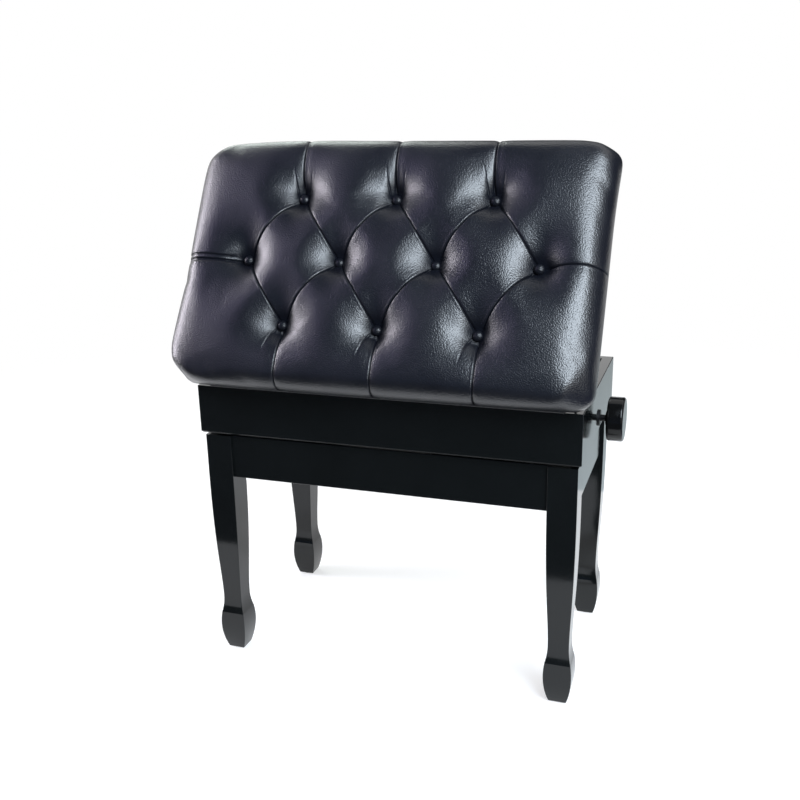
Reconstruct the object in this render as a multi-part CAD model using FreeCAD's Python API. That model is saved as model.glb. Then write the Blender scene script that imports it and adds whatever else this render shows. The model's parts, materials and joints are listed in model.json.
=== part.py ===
import FreeCAD, Part
import math
import os

# Adjustable piano stool. Four tapered legs with spade feet carry an apron frame. A steel scissor
# lift, driven by a spindle and a hand knob, raises a shallow box that holds sheet music. The deep
# buttoned seat is the box's lid, hinged along one long side and held open by two sliding stays.
# Millimetres, Z up, origin on the floor midway between the legs. X runs along the seat towards the
# knob, Y runs from the hinge side (front) to the opening side (rear). The lid is modelled open.

V = FreeCAD.Vector
X_AXIS = V(1, 0, 0)
Y_AXIS = V(0, 1, 0)
Z_AXIS = V(0, 0, 1)
ORIGIN = V(0, 0, 0)
NEAR = 0.01

# Leg frame
FRAME_LENGTH = 516.0
FRAME_DEPTH = 290.0
FRAME_HEIGHT = 336.0
LEG_SIZE = 38.0
APRON_HEIGHT = 61.0
APRON_THICKNESS = 18.0
APRON_RECESS = 4.0
ANKLE_SIZE = 28.0
ANKLE_HEIGHT = 86.0
FOOT_SIZE = 37.5
FOOT_WIDEST_HEIGHT = 42.0
FOOT_CREASE_SIZE = 34.5
FOOT_CREASE_HEIGHT = 60.0
FOOT_BOTTOM_SIZE = 24.0
COVE_HOLLOW = 0.28
COVE_MIDDLE = 0.44
TAPER_LOW_PULL = 0.2
TAPER_HIGH_PULL = 0.6
LEG_EDGE_ROUND = 0.8
LEG_FLAT = 6.0
LEG_FLAT_RUNOUT = 28.0
GLIDE_RADIUS = 9.0
GLIDE_THICKNESS = 2.0
EDGE_ROUND = 1.0

# Corner plates and leg bolts
PLATE_GAP = 8.0
PLATE_THICKNESS = 2.5
PLATE_WING = 22.0
PLATE_MARGIN = 4.0
BOLT_RADIUS = 4.0
BOLT_DEPTH = 20.0
BOLT_TAIL = 3.0
NUT_RADIUS = 7.5
NUT_HEIGHT = 6.5
WASHER_RADIUS = 8.5
WASHER_THICKNESS = 1.6

# Box and tray
BOX_LENGTH = 525.0
BOX_DEPTH = 298.0
BOX_HEIGHT = 68.0
BOX_GAP = 4.0
BOARD_THICKNESS = 15.0
BOX_BEVEL = 2.4
TRAY_THICKNESS = 5.0
TRAY_GROOVE = 5.0
TRAY_PLAY = 0.25
TRAY_GAP = 3.0
BUMPER_RADIUS = 5.0
BUMPER_INSET = 45.0
BUMPER_CLEARANCE = 0.3

# Scissor lift
LIFT_TRAVEL = 90.0
RAIL_HEIGHT = 24.0
RAIL_DEPTH = 14.0
RAIL_WALL = 2.0
RAIL_END_GAP = 5.0
RAIL_END = 26.0
RAIL_SCREW_END = 8.0
LOWER_RAIL_LIFT = 3.0
SPINDLE_LIFT = 19.0
ARM_WIDTH = 24.0
ARM_THICKNESS = 3.0
ARM_GAP = 1.0
SHAFT_RADIUS = 6.0
RUNNING_FIT = 0.05
AXIAL_PLAY = 0.2
SLIDE_PLAY = 1.25
PIN_RADIUS = 4.0
PIN_HEAD_RADIUS = 7.0
PIN_HEAD = 2.0
PIN_PLAY = 1.2
BAR_BLOCK = 26.0
BAR_BLOCK_WIDTH = 36.0

# Spindle and knob
THREAD_RADIUS = 6.0
THREAD_PLAY = 1.1
THREAD_TAIL = 16.0
SHANK_RADIUS = 4.5
JOURNAL_RADIUS = 3.5
COLLAR_RADIUS = 9.0
COLLAR_WIDTH = 6.0
NUT_BODY_RADIUS = 10.0
NUT_FLANGE_RADIUS = 13.0
NUT_FLANGE = 4.0
BUSH_RADIUS = 8.0
BUSH_FLANGE_RADIUS = 11.0
BUSH_FLANGE = 2.0
KNOB_RADIUS = 30.0
KNOB_WIDTH = 22.0
KNOB_GAP = 12.5
KNOB_ROUND = 3.5
KNOB_HUB_RADIUS = 9.0
KNOB_HUB = 3.0
KNOB_BORE = 17.0

# Hinge and lid
LID_ANGLE = 60.0
KNUCKLE_RADIUS = 2.2
KNUCKLE_STANDOFF = 0.3
KNUCKLE_COUNT = 15
KNUCKLE_PLAY = 0.4
HINGE_PIN_RADIUS = 1.3
LEAF_THICKNESS = 1.2
LEAF_WIDTH = 13.0
HINGE_LENGTH = 480.0
HINGE_SCREWS = 6
SEAT_LENGTH = 556.0
SEAT_DEPTH = 338.0
SEAT_LIP = 3.0
SEAT_THICKNESS = 57.0
SEAT_EDGE_HEIGHT = 47.0
SEAT_SHOULDER = 19.0
SEAT_CORNER = 28.0
SEAT_TUCK = 2.0
CROWN_LEAST = 0.5
LEATHER_THICKNESS = 1.4
LEATHER_WRAP = 20.0
LINING_PLAY = 0.25
SEAT_BOARD_THICKNESS = 12.0
BUTTON_PITCH = 131.0
BUTTON_ROW = 88.6
BUTTON_RADIUS = 7.0
BUTTON_DOME = 4.0
BUTTON_RIM = 2.0
BUTTON_SEAT = 33.0
BUTTON_LIFT = 0.25
TUFT_RADIUS = 27.0
PLEAT_WIDTH = 12.0
PLEAT_DEPTH = 10.0
PLEAT_FALL = 10.0
PLEAT_REACH = 30.0
TIE_RADIUS = 1.0

# Lid stays
STAY_END_GAP = 25.0
STAY_DROP = 9.0
STAY_WIDTH = 12.0
STAY_THICKNESS = 2.0
STAY_PIN_RADIUS = 3.0
STAY_PIN_PLAY = 0.35
STAY_HEAD_RADIUS = 5.0
STAY_HEAD = 1.4
STAY_GAP = 2.4
STAY_SIDE_GAP = 0.3
STAY_HEAD_GAP = 0.4
TRACK_WIDTH = 14.0
TRACK_THICKNESS = 2.0
TRACK_SPACER = 4.0
TRACK_FLOOR_GAP = 1.5
TRACK_FOOT = 14.0
BRACKET_LENGTH = 30.0
BRACKET_WIDTH = 14.0

# Screws
SCREW_RADIUS = 1.75
SCREW_HEAD_RADIUS = 3.6
SCREW_HEAD = 2.2
SCREW_LENGTH = 12.0
SMALL_SCREW_RADIUS = 1.2
SMALL_HEAD_RADIUS = 2.2
SMALL_HEAD = 0.7
SMALL_SCREW_LENGTH = 9.0

# Places worked out from the sizes above
half_frame = FRAME_LENGTH / 2
half_depth = FRAME_DEPTH / 2
half_leg = LEG_SIZE / 2
apron_bottom = FRAME_HEIGHT - APRON_HEIGHT
apron_x = half_frame - APRON_RECESS - APRON_THICKNESS
apron_y = half_depth - APRON_RECESS - APRON_THICKNESS
leg_x = half_frame - half_leg
leg_y = half_depth - half_leg
box_bottom = FRAME_HEIGHT + BOX_GAP
box_top = box_bottom + BOX_HEIGHT
box_x = BOX_LENGTH / 2
box_y = BOX_DEPTH / 2
inner_x = box_x - BOARD_THICKNESS
inner_y = box_y - BOARD_THICKNESS
low_z = apron_bottom + LOWER_RAIL_LIFT + RAIL_HEIGHT / 2
spindle_z = box_bottom + SPINDLE_LIFT
tray_bottom = spindle_z + RAIL_HEIGHT / 2 + TRAY_GAP
tray_top = tray_bottom + TRAY_THICKNESS
rail_half = half_frame - LEG_SIZE - RAIL_END_GAP
pivot_x = -(rail_half - RAIL_END)
slide_x = rail_half - RAIL_END
arm_length = math.hypot(slide_x - pivot_x, spindle_z - low_z)
outer_arm_y = min(apron_y, inner_y) - RAIL_DEPTH - ARM_GAP
inner_arm_y = outer_arm_y - ARM_THICKNESS - ARM_GAP
sleeve_radius = RAIL_HEIGHT / 2 - RAIL_WALL - SLIDE_PLAY
lid_gap = 2 * (KNUCKLE_RADIUS + KNUCKLE_STANDOFF)
hinge_y = -box_y - KNUCKLE_RADIUS - KNUCKLE_STANDOFF
hinge_z = box_top + lid_gap / 2
hinge_point = V(0, hinge_y, hinge_z)
lid_bottom = box_top + lid_gap
seat_y = hinge_y - SEAT_LIP + SEAT_DEPTH / 2
board_bottom = lid_bottom + LEATHER_THICKNESS
board_top = board_bottom + SEAT_BOARD_THICKNESS
FOUR_CORNERS = [(-1, -1, "front_left"), (1, -1, "front_right"), (-1, 1, "rear_left"), (1, 1, "rear_right")]
LONG_SIDES = [(-1, "front"), (1, "rear")]
END_SIDES = [(-1, "left"), (1, "right")]


def block(x0, x1, y0, y1, z0, z1):
    """Box between two corners given in any order."""
    low = V(min(x0, x1), min(y0, y1), min(z0, z1))
    return Part.makeBox(abs(x1 - x0), abs(y1 - y0), abs(z1 - z0), low)


def rod(radius, start, end):
    """Round bar from one point to another."""
    along = end - start
    return Part.makeCylinder(radius, along.Length, start, along)


def ring(outer, inner, start, end):
    """Round tube from one point to another."""
    return rod(outer, start, end).cut(rod(inner, start, end))


def prism(points, along):
    """Flat polygon pushed along a vector."""
    return Part.Face(Part.makePolygon(points + [points[0]])).extrude(along)


def join(shapes):
    """One solid from touching shapes."""
    return shapes[0].fuse(shapes[1:]).removeSplitter()


def screw(point, into, length, radius, head_radius, head):
    """Round-headed screw whose head sits on the surface at the point."""
    way = V(into)
    way.normalize()
    shank = rod(radius, point, point + way * length)
    cap = rod(head_radius, point - way * head, point)
    return join([shank, cap])


def wood_screw(point, into):
    """Screw that holds a steel fitting to a board."""
    return screw(point, into, SCREW_LENGTH, SCREW_RADIUS, SCREW_HEAD_RADIUS, SCREW_HEAD)


def small_screw(point, into):
    """Small screw for the hinge and the stay brackets."""
    return screw(point, into, SMALL_SCREW_LENGTH, SMALL_SCREW_RADIUS, SMALL_HEAD_RADIUS, SMALL_HEAD)


def save(name, shape):
    """One file for each piece, or for each group of like pieces."""
    if isinstance(shape, list):
        shape = Part.makeCompound(shape)
    shape.exportStep("parts/" + name + ".step")


def leg_outline():
    """Face of the leg's side view: straight top, slender taper, cove at the ankle, spade foot."""
    crease = V(FOOT_CREASE_SIZE / 2, 0, FOOT_CREASE_HEIGHT)
    ankle = V(ANKLE_SIZE / 2, 0, ANKLE_HEIGHT)
    shoulder = V(half_leg, 0, apron_bottom)
    taper = apron_bottom - ANKLE_HEIGHT
    sole = V(FOOT_BOTTOM_SIZE / 2, 0, GLIDE_THICKNESS)
    widest = V(FOOT_SIZE / 2, 0, FOOT_WIDEST_HEIGHT)
    cove_x = ankle.x + COVE_HOLLOW * (crease.x - ankle.x)
    cove_z = crease.z + COVE_MIDDLE * (ankle.z - crease.z)
    low_pull = ankle + Z_AXIS * (TAPER_LOW_PULL * taper)
    high_pull = shoulder - Z_AXIS * (TAPER_HIGH_PULL * taper)
    curve = Part.BezierCurve()
    curve.setPoles([ankle, low_pull, high_pull, shoulder])
    right = [
        Part.Arc(sole, widest, crease).toShape(),
        Part.Arc(crease, V(cove_x, 0, cove_z), ankle).toShape(),
        curve.toShape(),
        Part.makeLine(shoulder, V(half_leg, 0, FRAME_HEIGHT)),
    ]
    left = [edge.mirror(ORIGIN, X_AXIS) for edge in right]
    top = Part.makeLine(V(half_leg, 0, FRAME_HEIGHT), V(-half_leg, 0, FRAME_HEIGHT))
    bottom = Part.makeLine(V(-sole.x, 0, sole.z), sole)
    return Part.Face(Part.Wire(Part.__sortEdges__(right + [top] + left + [bottom])))


def bolt_line(sx, sy):
    """Middle of the leg's inner flat, and the direction from there towards the middle of the stool."""
    flat_sum = half_frame + half_depth - 2 * LEG_SIZE + LEG_FLAT
    across = leg_x - leg_y
    start = V(sx * (flat_sum + across) / 2, sy * (flat_sum - across) / 2, plate_middle())
    way = V(-sx, -sy, 0)
    way.normalize()
    return start, way


def plate_middle():
    """Height of the leg bolts, midway up the corner plates."""
    low = low_z + RAIL_HEIGHT / 2 + PLATE_MARGIN
    return (low + FRAME_HEIGHT - PLATE_MARGIN) / 2


def make_legs():
    """Legs, all alike, each with a flat on its inner edge for the corner plate's bolt."""
    slab = leg_outline().extrude(V(0, 2 * LEG_SIZE, 0)).translated(V(0, -LEG_SIZE, 0))
    plain = slab.common(slab.rotated(ORIGIN, Z_AXIS, 90)).removeSplitter()
    long_edges = [e for e in plain.Edges if abs(abs(e.CenterOfMass.x) - abs(e.CenterOfMass.y)) < NEAR
                  and e.BoundBox.ZLength > LEG_EDGE_ROUND]
    plain = plain.makeFillet(LEG_EDGE_ROUND, long_edges)
    for sx, sy, corner in FOUR_CORNERS:
        leg = plain.translated(V(sx * leg_x, sy * leg_y, 0))
        start, way = bolt_line(sx, sy)
        side = V(-way.y, way.x, 0) * LEG_SIZE
        flat_foot = V(start.x, start.y, apron_bottom)
        runout = V(start.x, start.y, apron_bottom - LEG_FLAT_RUNOUT) + way * LEG_FLAT
        reach = way * LEG_SIZE
        flat_top = V(start.x, start.y, FRAME_HEIGHT)
        upright = [flat_foot, flat_foot + reach, flat_top + reach, flat_top]
        sloping = [flat_foot, runout, runout + reach, flat_foot + reach]
        cutter = prism([p - side for p in upright], side * 2)
        slope = prism([p - side for p in sloping], side * 2)
        leg = leg.cut(cutter).cut(slope)
        leg = leg.cut(rod(BOLT_RADIUS, start - way * BOLT_DEPTH, start + way * LEG_FLAT))
        save("leg_" + corner, leg)
    glides = [rod(GLIDE_RADIUS, V(sx * leg_x, sy * leg_y, 0), V(sx * leg_x, sy * leg_y, GLIDE_THICKNESS))
              for sx, sy, corner in FOUR_CORNERS]
    save("foot_glides", glides)


def plate_corners(sx, sy):
    """Plan points of one folded corner plate: outer face, then inner face back again."""
    start, way = bolt_line(sx, sy)
    total = abs(start.x) + abs(start.y) - PLATE_GAP * math.sqrt(2)
    fold = PLATE_THICKNESS * (math.sqrt(2) - 1)
    end_y = total - apron_x
    long_x = total - apron_y
    inner_end = apron_x - PLATE_THICKNESS
    inner_long = apron_y - PLATE_THICKNESS
    plan = [(apron_x, end_y - PLATE_WING), (apron_x, end_y),
            (long_x, apron_y), (long_x - PLATE_WING, apron_y),
            (long_x - PLATE_WING, inner_long), (long_x - fold, inner_long),
            (inner_end, end_y - fold), (inner_end, end_y - PLATE_WING)]
    return [(sx * x, sy * y) for x, y in plan]


def plate_screw_places(sx, sy):
    """Screw seats on the inner faces of a corner plate's two wings."""
    plan = plate_corners(sx, sy)
    end_y = (plan[6][1] + plan[7][1]) / 2
    long_x = (plan[4][0] + plan[5][0]) / 2
    z = plate_middle()
    return [(V(plan[7][0], end_y, z), V(sx, 0, 0)), (V(long_x, plan[4][1], z), V(0, sy, 0))]


def make_corner_plates():
    """Folded steel plates that tie two aprons and pull the leg into the corner with its bolt."""
    low = low_z + RAIL_HEIGHT / 2 + PLATE_MARGIN
    height = FRAME_HEIGHT - PLATE_MARGIN - low
    plates, bolts, nuts, screws = [], [], [], []
    for sx, sy, corner in FOUR_CORNERS:
        plate = prism([V(x, y, low) for x, y in plate_corners(sx, sy)], V(0, 0, height))
        start, way = bolt_line(sx, sy)
        back = start + way * (PLATE_GAP + PLATE_THICKNESS)
        plate = plate.cut(rod(BOLT_RADIUS + RUNNING_FIT, start, back + way))
        for seat, into in plate_screw_places(sx, sy):
            plate = plate.cut(rod(SCREW_RADIUS, seat - into, seat + into * SCREW_LENGTH))
            screws.append(wood_screw(seat, into))
        plates.append(plate)
        nut_face = back + way * WASHER_THICKNESS
        tip = nut_face + way * (NUT_HEIGHT + BOLT_TAIL)
        bolts.append(rod(BOLT_RADIUS, start - way * BOLT_DEPTH, tip))
        side = V(-way.y, way.x, 0)
        hexagon = [nut_face + side * (NUT_RADIUS * math.cos(k * math.pi / 3))
                   + Z_AXIS * (NUT_RADIUS * math.sin(k * math.pi / 3)) for k in range(6)]
        nuts.append(prism(hexagon, way * NUT_HEIGHT).cut(rod(BOLT_RADIUS, start, tip)))
        nuts.append(ring(WASHER_RADIUS, BOLT_RADIUS, back, nut_face))
    save("corner_plates", plates)
    save("leg_bolts", bolts)
    save("leg_nuts", nuts)
    save("plate_screws", screws)


def rail_screw_places(side, face_y, z):
    """Screw seats along the inside of a rail's web, clear of the sliding sleeve."""
    y = side * (face_y - RAIL_WALL)
    spread = [pivot_x - RAIL_END / 2, pivot_x / 3, slide_x / 3, rail_half - RAIL_SCREW_END]
    return [(V(x, y, z), V(0, side, 0)) for x in spread]


def make_aprons():
    """Aprons between the legs, drilled for the corner plates' and the lower rails' screws."""
    seats = []
    for sx, sy, corner in FOUR_CORNERS:
        seats += plate_screw_places(sx, sy)
    for side, name in LONG_SIDES:
        seats += rail_screw_places(side, apron_y, low_z)
    drills = [rod(SCREW_RADIUS, seat, seat + into * SCREW_LENGTH) for seat, into in seats]
    for side, name in LONG_SIDES:
        board = block(-half_frame + LEG_SIZE, half_frame - LEG_SIZE, side * apron_y,
                      side * (apron_y + APRON_THICKNESS), apron_bottom, FRAME_HEIGHT)
        outer = [e for e in board.Edges if abs(e.CenterOfMass.x) < NEAR
                 and abs(e.CenterOfMass.y) > apron_y + APRON_THICKNESS / 2]
        save("apron_" + name, board.makeFillet(EDGE_ROUND, outer).cut(drills))
    for side, name in END_SIDES:
        board = block(side * apron_x, side * (apron_x + APRON_THICKNESS), -half_depth + LEG_SIZE,
                      half_depth - LEG_SIZE, apron_bottom, FRAME_HEIGHT)
        outer = [e for e in board.Edges if abs(e.CenterOfMass.y) < NEAR
                 and abs(e.CenterOfMass.x) > apron_x + APRON_THICKNESS / 2]
        save("apron_" + name, board.makeFillet(EDGE_ROUND, outer).cut(drills))


def rail(side, face_y, z, screws):
    """Steel channel, open towards the middle, with its pivot hole and screw holes in the web."""
    outer = block(-rail_half, rail_half, side * face_y, side * (face_y - RAIL_DEPTH),
                  z - RAIL_HEIGHT / 2, z + RAIL_HEIGHT / 2)
    hollow = block(-rail_half, rail_half, side * (face_y - RAIL_WALL), side * (face_y - RAIL_DEPTH),
                   z - RAIL_HEIGHT / 2 + RAIL_WALL, z + RAIL_HEIGHT / 2 - RAIL_WALL)
    channel = outer.cut(hollow)
    channel = channel.cut(rod(SHAFT_RADIUS, V(pivot_x, -face_y, z), V(pivot_x, face_y, z)))
    for seat, into in screws:
        channel = channel.cut(rod(SCREW_RADIUS, seat, seat + into * SCREW_LENGTH))
    return channel


def make_rails():
    """Lower rails on the long aprons and upper rails on the long box boards."""
    for level, face_y, z in [("lower", apron_y, low_z), ("upper", inner_y, spindle_z)]:
        screws = []
        for side, name in LONG_SIDES:
            seats = rail_screw_places(side, face_y, z)
            save(level + "_rail_" + name, rail(side, face_y, z, seats))
            screws += [wood_screw(seat, into) for seat, into in seats]
        save(level + "_rail_screws", screws)


def arm(side, y, start, end, holes):
    """Flat steel bar with round ends, from one pivot to another."""
    along = end - start
    along.normalize()
    across = V(-along.z, 0, along.x) * (ARM_WIDTH / 2)
    depth = V(0, side * -ARM_THICKNESS, 0)
    level = V(0, side * y, 0)
    outline = [start + across, end + across, end - across, start - across]
    bar = prism([p + level for p in outline], depth)
    ends = [rod(ARM_WIDTH / 2, p + level, p + level + depth) for p in (start, end)]
    shape = join([bar] + ends)
    for centre, radius in holes:
        shape = shape.cut(rod(radius, centre + level - depth, centre + level + depth * 2))
    return shape


def make_scissors():
    """Two crossed pairs of arms. The outer pair hangs on the base, the inner pair on the box."""
    low_pivot = V(pivot_x, 0, low_z)
    high_pivot = V(pivot_x, 0, spindle_z)
    low_slide = V(slide_x, 0, low_z)
    high_slide = V(slide_x, 0, spindle_z)
    centre = (low_pivot + high_slide) * 0.5
    running = SHAFT_RADIUS + RUNNING_FIT
    pins = []
    for side, name in LONG_SIDES:
        outer_holes = [(low_pivot, running), (high_slide, running), (centre, PIN_RADIUS)]
        inner_holes = [(high_pivot, running), (low_slide, SHAFT_RADIUS), (centre, PIN_RADIUS + PIN_PLAY)]
        save("outer_arm_" + name, arm(side, outer_arm_y, low_pivot, high_slide, outer_holes))
        save("inner_arm_" + name, arm(side, inner_arm_y, high_pivot, low_slide, inner_holes))
        outside = centre + V(0, side * outer_arm_y, 0)
        inside = centre + V(0, side * (inner_arm_y - ARM_THICKNESS - AXIAL_PLAY), 0)
        way = V(0, side * PIN_HEAD, 0)
        pins.append(join([rod(PIN_RADIUS, inside, outside), rod(PIN_HEAD_RADIUS, inside - way, inside),
                          rod(PIN_HEAD_RADIUS, outside, outside + way)]))
    save("scissor_pins", pins)
    save("lower_pivot_shaft", rod(SHAFT_RADIUS, V(pivot_x, -apron_y, low_z), V(pivot_x, apron_y, low_z)))
    low_end = apron_y - RAIL_WALL - ARM_GAP
    high_end = inner_y - RAIL_WALL - ARM_GAP
    save("lower_slide_shaft", rod(SHAFT_RADIUS, low_slide - Y_AXIS * low_end, low_slide + Y_AXIS * low_end))
    for level, point, end in [("lower", low_slide, low_end), ("upper", high_slide, high_end)]:
        sleeves = []
        for side, name in LONG_SIDES:
            tip = point + V(0, side * end, 0)
            root = tip - V(0, side * (RAIL_DEPTH - RAIL_WALL - ARM_GAP), 0)
            sleeves.append(ring(sleeve_radius, SHAFT_RADIUS, root, tip))
        save(level + "_slide_sleeves", sleeves)
    half_block = BAR_BLOCK / 2
    half_width = BAR_BLOCK_WIDTH / 2
    for name, point, end, bore in [("drive_bar", high_slide, high_end, NUT_BODY_RADIUS),
                                   ("fixed_bar", high_pivot, inner_y, JOURNAL_RADIUS + RUNNING_FIT)]:
        lug = block(point.x - half_block, point.x + half_block, -half_width, half_width,
                    point.z - half_block, point.z + half_block)
        bar = join([rod(SHAFT_RADIUS, point - Y_AXIS * end, point + Y_AXIS * end), lug])
        save(name, bar.cut(rod(bore, point - X_AXIS * BAR_BLOCK, point + X_AXIS * BAR_BLOCK)))
    face = high_slide + X_AXIS * half_block
    back = high_slide - X_AXIS * half_block
    nut = join([rod(NUT_BODY_RADIUS, back, face), rod(NUT_FLANGE_RADIUS, face, face + X_AXIS * NUT_FLANGE)])
    save("drive_nut", nut.cut(rod(THREAD_RADIUS + THREAD_PLAY, back, face + X_AXIS * NUT_FLANGE)))


def make_spindle():
    """Threaded spindle held in the fixed bar and in a bush in the right board, turned by the knob."""
    block_left = pivot_x - BAR_BLOCK / 2
    block_right = pivot_x + BAR_BLOCK / 2
    raised_x = pivot_x + math.sqrt(arm_length ** 2 - (spindle_z - low_z + LIFT_TRAVEL) ** 2)
    thread_start = raised_x - BAR_BLOCK / 2 - THREAD_TAIL
    thread_end = slide_x + BAR_BLOCK / 2 + NUT_FLANGE + THREAD_TAIL
    knob_face = box_x + KNOB_GAP
    shank_end = knob_face + KNOB_BORE

    def at(x):
        return V(x, 0, spindle_z)

    collar_right = block_left - AXIAL_PLAY
    collar_left = collar_right - COLLAR_WIDTH
    shoulder = block_right + AXIAL_PLAY
    save("spindle", join([rod(JOURNAL_RADIUS, at(collar_left), at(shoulder)),
                          rod(SHANK_RADIUS, at(shoulder), at(shank_end)),
                          rod(THREAD_RADIUS, at(thread_start), at(thread_end))]))
    save("spindle_collar", ring(COLLAR_RADIUS, JOURNAL_RADIUS, at(collar_left), at(collar_right)))
    bush = join([rod(BUSH_RADIUS, at(inner_x), at(box_x)),
                 rod(BUSH_FLANGE_RADIUS, at(box_x), at(box_x + BUSH_FLANGE))])
    save("spindle_bush", bush.cut(rod(SHANK_RADIUS + RUNNING_FIT, at(inner_x), at(box_x + BUSH_FLANGE))))
    disc = rod(KNOB_RADIUS, at(knob_face), at(knob_face + KNOB_WIDTH))
    rims = [e for e in disc.Edges if e.BoundBox.XLength < NEAR]
    disc = disc.makeFillet(KNOB_ROUND, rims)
    hub = rod(KNOB_HUB_RADIUS, at(knob_face - KNOB_HUB), at(knob_face + KNOB_ROUND))
    save("knob", join([disc, hub]).cut(rod(SHANK_RADIUS, at(knob_face - KNOB_HUB), at(shank_end))))


def make_box():
    """Mitred boards with a groove for the tray floor, a small bevel below and eased edges above."""
    outside = block(-box_x, box_x, -box_y, box_y, box_bottom, box_top)
    low_edges = [e for e in outside.Edges if abs(e.CenterOfMass.z - box_bottom) < NEAR]
    outside = outside.makeChamfer(BOX_BEVEL, low_edges)
    eased = [e for e in outside.Edges if abs(e.CenterOfMass.z - box_top) < NEAR
             or e.BoundBox.ZLength > BOX_HEIGHT / 2]
    outside = outside.makeFillet(EDGE_ROUND, eased)
    inside = block(-inner_x, inner_x, -inner_y, inner_y, box_bottom, box_top)
    groove_x = inner_x + TRAY_GROOVE
    groove_y = inner_y + TRAY_GROOVE
    groove = block(-groove_x, groove_x, -groove_y, groove_y, tray_bottom, tray_top)
    drills = [rod(BUSH_RADIUS, V(inner_x, 0, spindle_z), V(box_x, 0, spindle_z))]
    for side, name in LONG_SIDES:
        for seat, into in rail_screw_places(side, inner_y, spindle_z):
            drills.append(rod(SCREW_RADIUS, seat, seat + into * SCREW_LENGTH))
    for point in hinge_screw_places():
        seat = V(point, leaf_middle(), box_top)
        drills.append(rod(SMALL_SCREW_RADIUS, seat, seat - Z_AXIS * SMALL_SCREW_LENGTH))
    for side, name in END_SIDES:
        for seat in track_screw_places(side):
            drills.append(rod(SMALL_SCREW_RADIUS, seat, seat + V(side * SMALL_SCREW_LENGTH, 0, 0)))
    hollow = outside.cut(inside).cut(groove).cut(drills)
    deep = 2 * BOARD_THICKNESS
    out_x, out_y = box_x + deep, box_y + deep
    in_x, in_y = box_x - deep, box_y - deep
    for side, name in LONG_SIDES:
        wedge = [(-out_x, side * out_y), (out_x, side * out_y), (in_x, side * in_y), (-in_x, side * in_y)]
        mitred = prism([V(x, y, box_bottom) for x, y in wedge], Z_AXIS * BOX_HEIGHT)
        save("box_board_" + name, hollow.common(mitred))
    for side, name in END_SIDES:
        wedge = [(side * out_x, -out_y), (side * out_x, out_y), (side * in_x, in_y), (side * in_x, -in_y)]
        mitred = prism([V(x, y, box_bottom) for x, y in wedge], Z_AXIS * BOX_HEIGHT)
        save("box_board_" + name, hollow.common(mitred))
    floor_x = groove_x - TRAY_PLAY
    floor_y = groove_y - TRAY_PLAY
    save("tray_floor", block(-floor_x, floor_x, -floor_y, floor_y, tray_bottom, tray_top))
    height = lid_gap - BUMPER_CLEARANCE
    bumper_y = box_y - BOARD_THICKNESS / 2
    seats = [V(side * (box_x - BUMPER_INSET), bumper_y, box_top) for side, name in END_SIDES]
    bumpers = [rod(BUMPER_RADIUS, seat, seat + Z_AXIS * height) for seat in seats]
    save("lid_bumpers", bumpers)


def opened(shape):
    """Swing a piece of the closed lid up about the hinge."""
    return shape.rotated(hinge_point, X_AXIS, LID_ANGLE)


def leaf_middle():
    """Middle of the flat part of a hinge leaf, in Y, with the lid closed."""
    return -box_y + LEAF_WIDTH / 2


def hinge_screw_places():
    """Screw places along the hinge, in X."""
    step = HINGE_LENGTH / HINGE_SCREWS
    return [-HINGE_LENGTH / 2 + step * (k + 0.5) for k in range(HINGE_SCREWS)]


def make_hinge():
    """Continuous hinge: two leaves with alternate knuckles on one pin."""
    pitch = HINGE_LENGTH / KNUCKLE_COUNT
    half = HINGE_LENGTH / 2
    pin_start = hinge_point - X_AXIS * half
    pin_end = hinge_point + X_AXIS * half
    leaves = []
    for turn, z in [(0, box_top), (1, lid_bottom - LEAF_THICKNESS)]:
        leaf = block(-half, half, hinge_y, -box_y + LEAF_WIDTH, z, z + LEAF_THICKNESS)
        tubes, gaps = [], []
        for k in range(KNUCKLE_COUNT):
            left = -half + pitch * k
            start = V(left + KNUCKLE_PLAY / 2, hinge_y, hinge_z)
            end = V(left + pitch - KNUCKLE_PLAY / 2, hinge_y, hinge_z)
            if k % 2 == turn:
                tubes.append(rod(KNUCKLE_RADIUS, start, end))
            else:
                room = X_AXIS * KNUCKLE_PLAY
                gaps.append(rod(KNUCKLE_RADIUS + KNUCKLE_PLAY, start - room, end + room))
        leaf = join([leaf.cut(gaps)] + tubes)
        leaves.append(leaf.cut(rod(HINGE_PIN_RADIUS + RUNNING_FIT, pin_start, pin_end)))
    low_screws, high_screws = [], []
    for x in hinge_screw_places():
        low_seat = V(x, leaf_middle(), box_top + LEAF_THICKNESS)
        high_seat = V(x, leaf_middle(), lid_bottom - LEAF_THICKNESS)
        low_screws.append(small_screw(low_seat, -Z_AXIS))
        high_screws.append(opened(small_screw(high_seat, Z_AXIS)))
        hole = rod(SMALL_SCREW_RADIUS, V(x, leaf_middle(), box_top), V(x, leaf_middle(), lid_bottom))
        leaves = [leaf.cut(hole) for leaf in leaves]
    save("hinge_leaf_box", leaves[0])
    save("hinge_leaf_lid", opened(leaves[1]))
    save("hinge_pin", rod(HINGE_PIN_RADIUS, pin_start, pin_end))
    save("hinge_screws_box", low_screws)
    save("hinge_screws_lid", high_screws)


def button_places():
    """Plan places of the buttons about the seat's middle: rows of three, four and three."""
    places = []
    for row, count in [(-1, 3), (0, 4), (1, 3)]:
        places += [(BUTTON_PITCH * (k - (count - 1) / 2), BUTTON_ROW * row) for k in range(count)]
    return places


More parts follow.
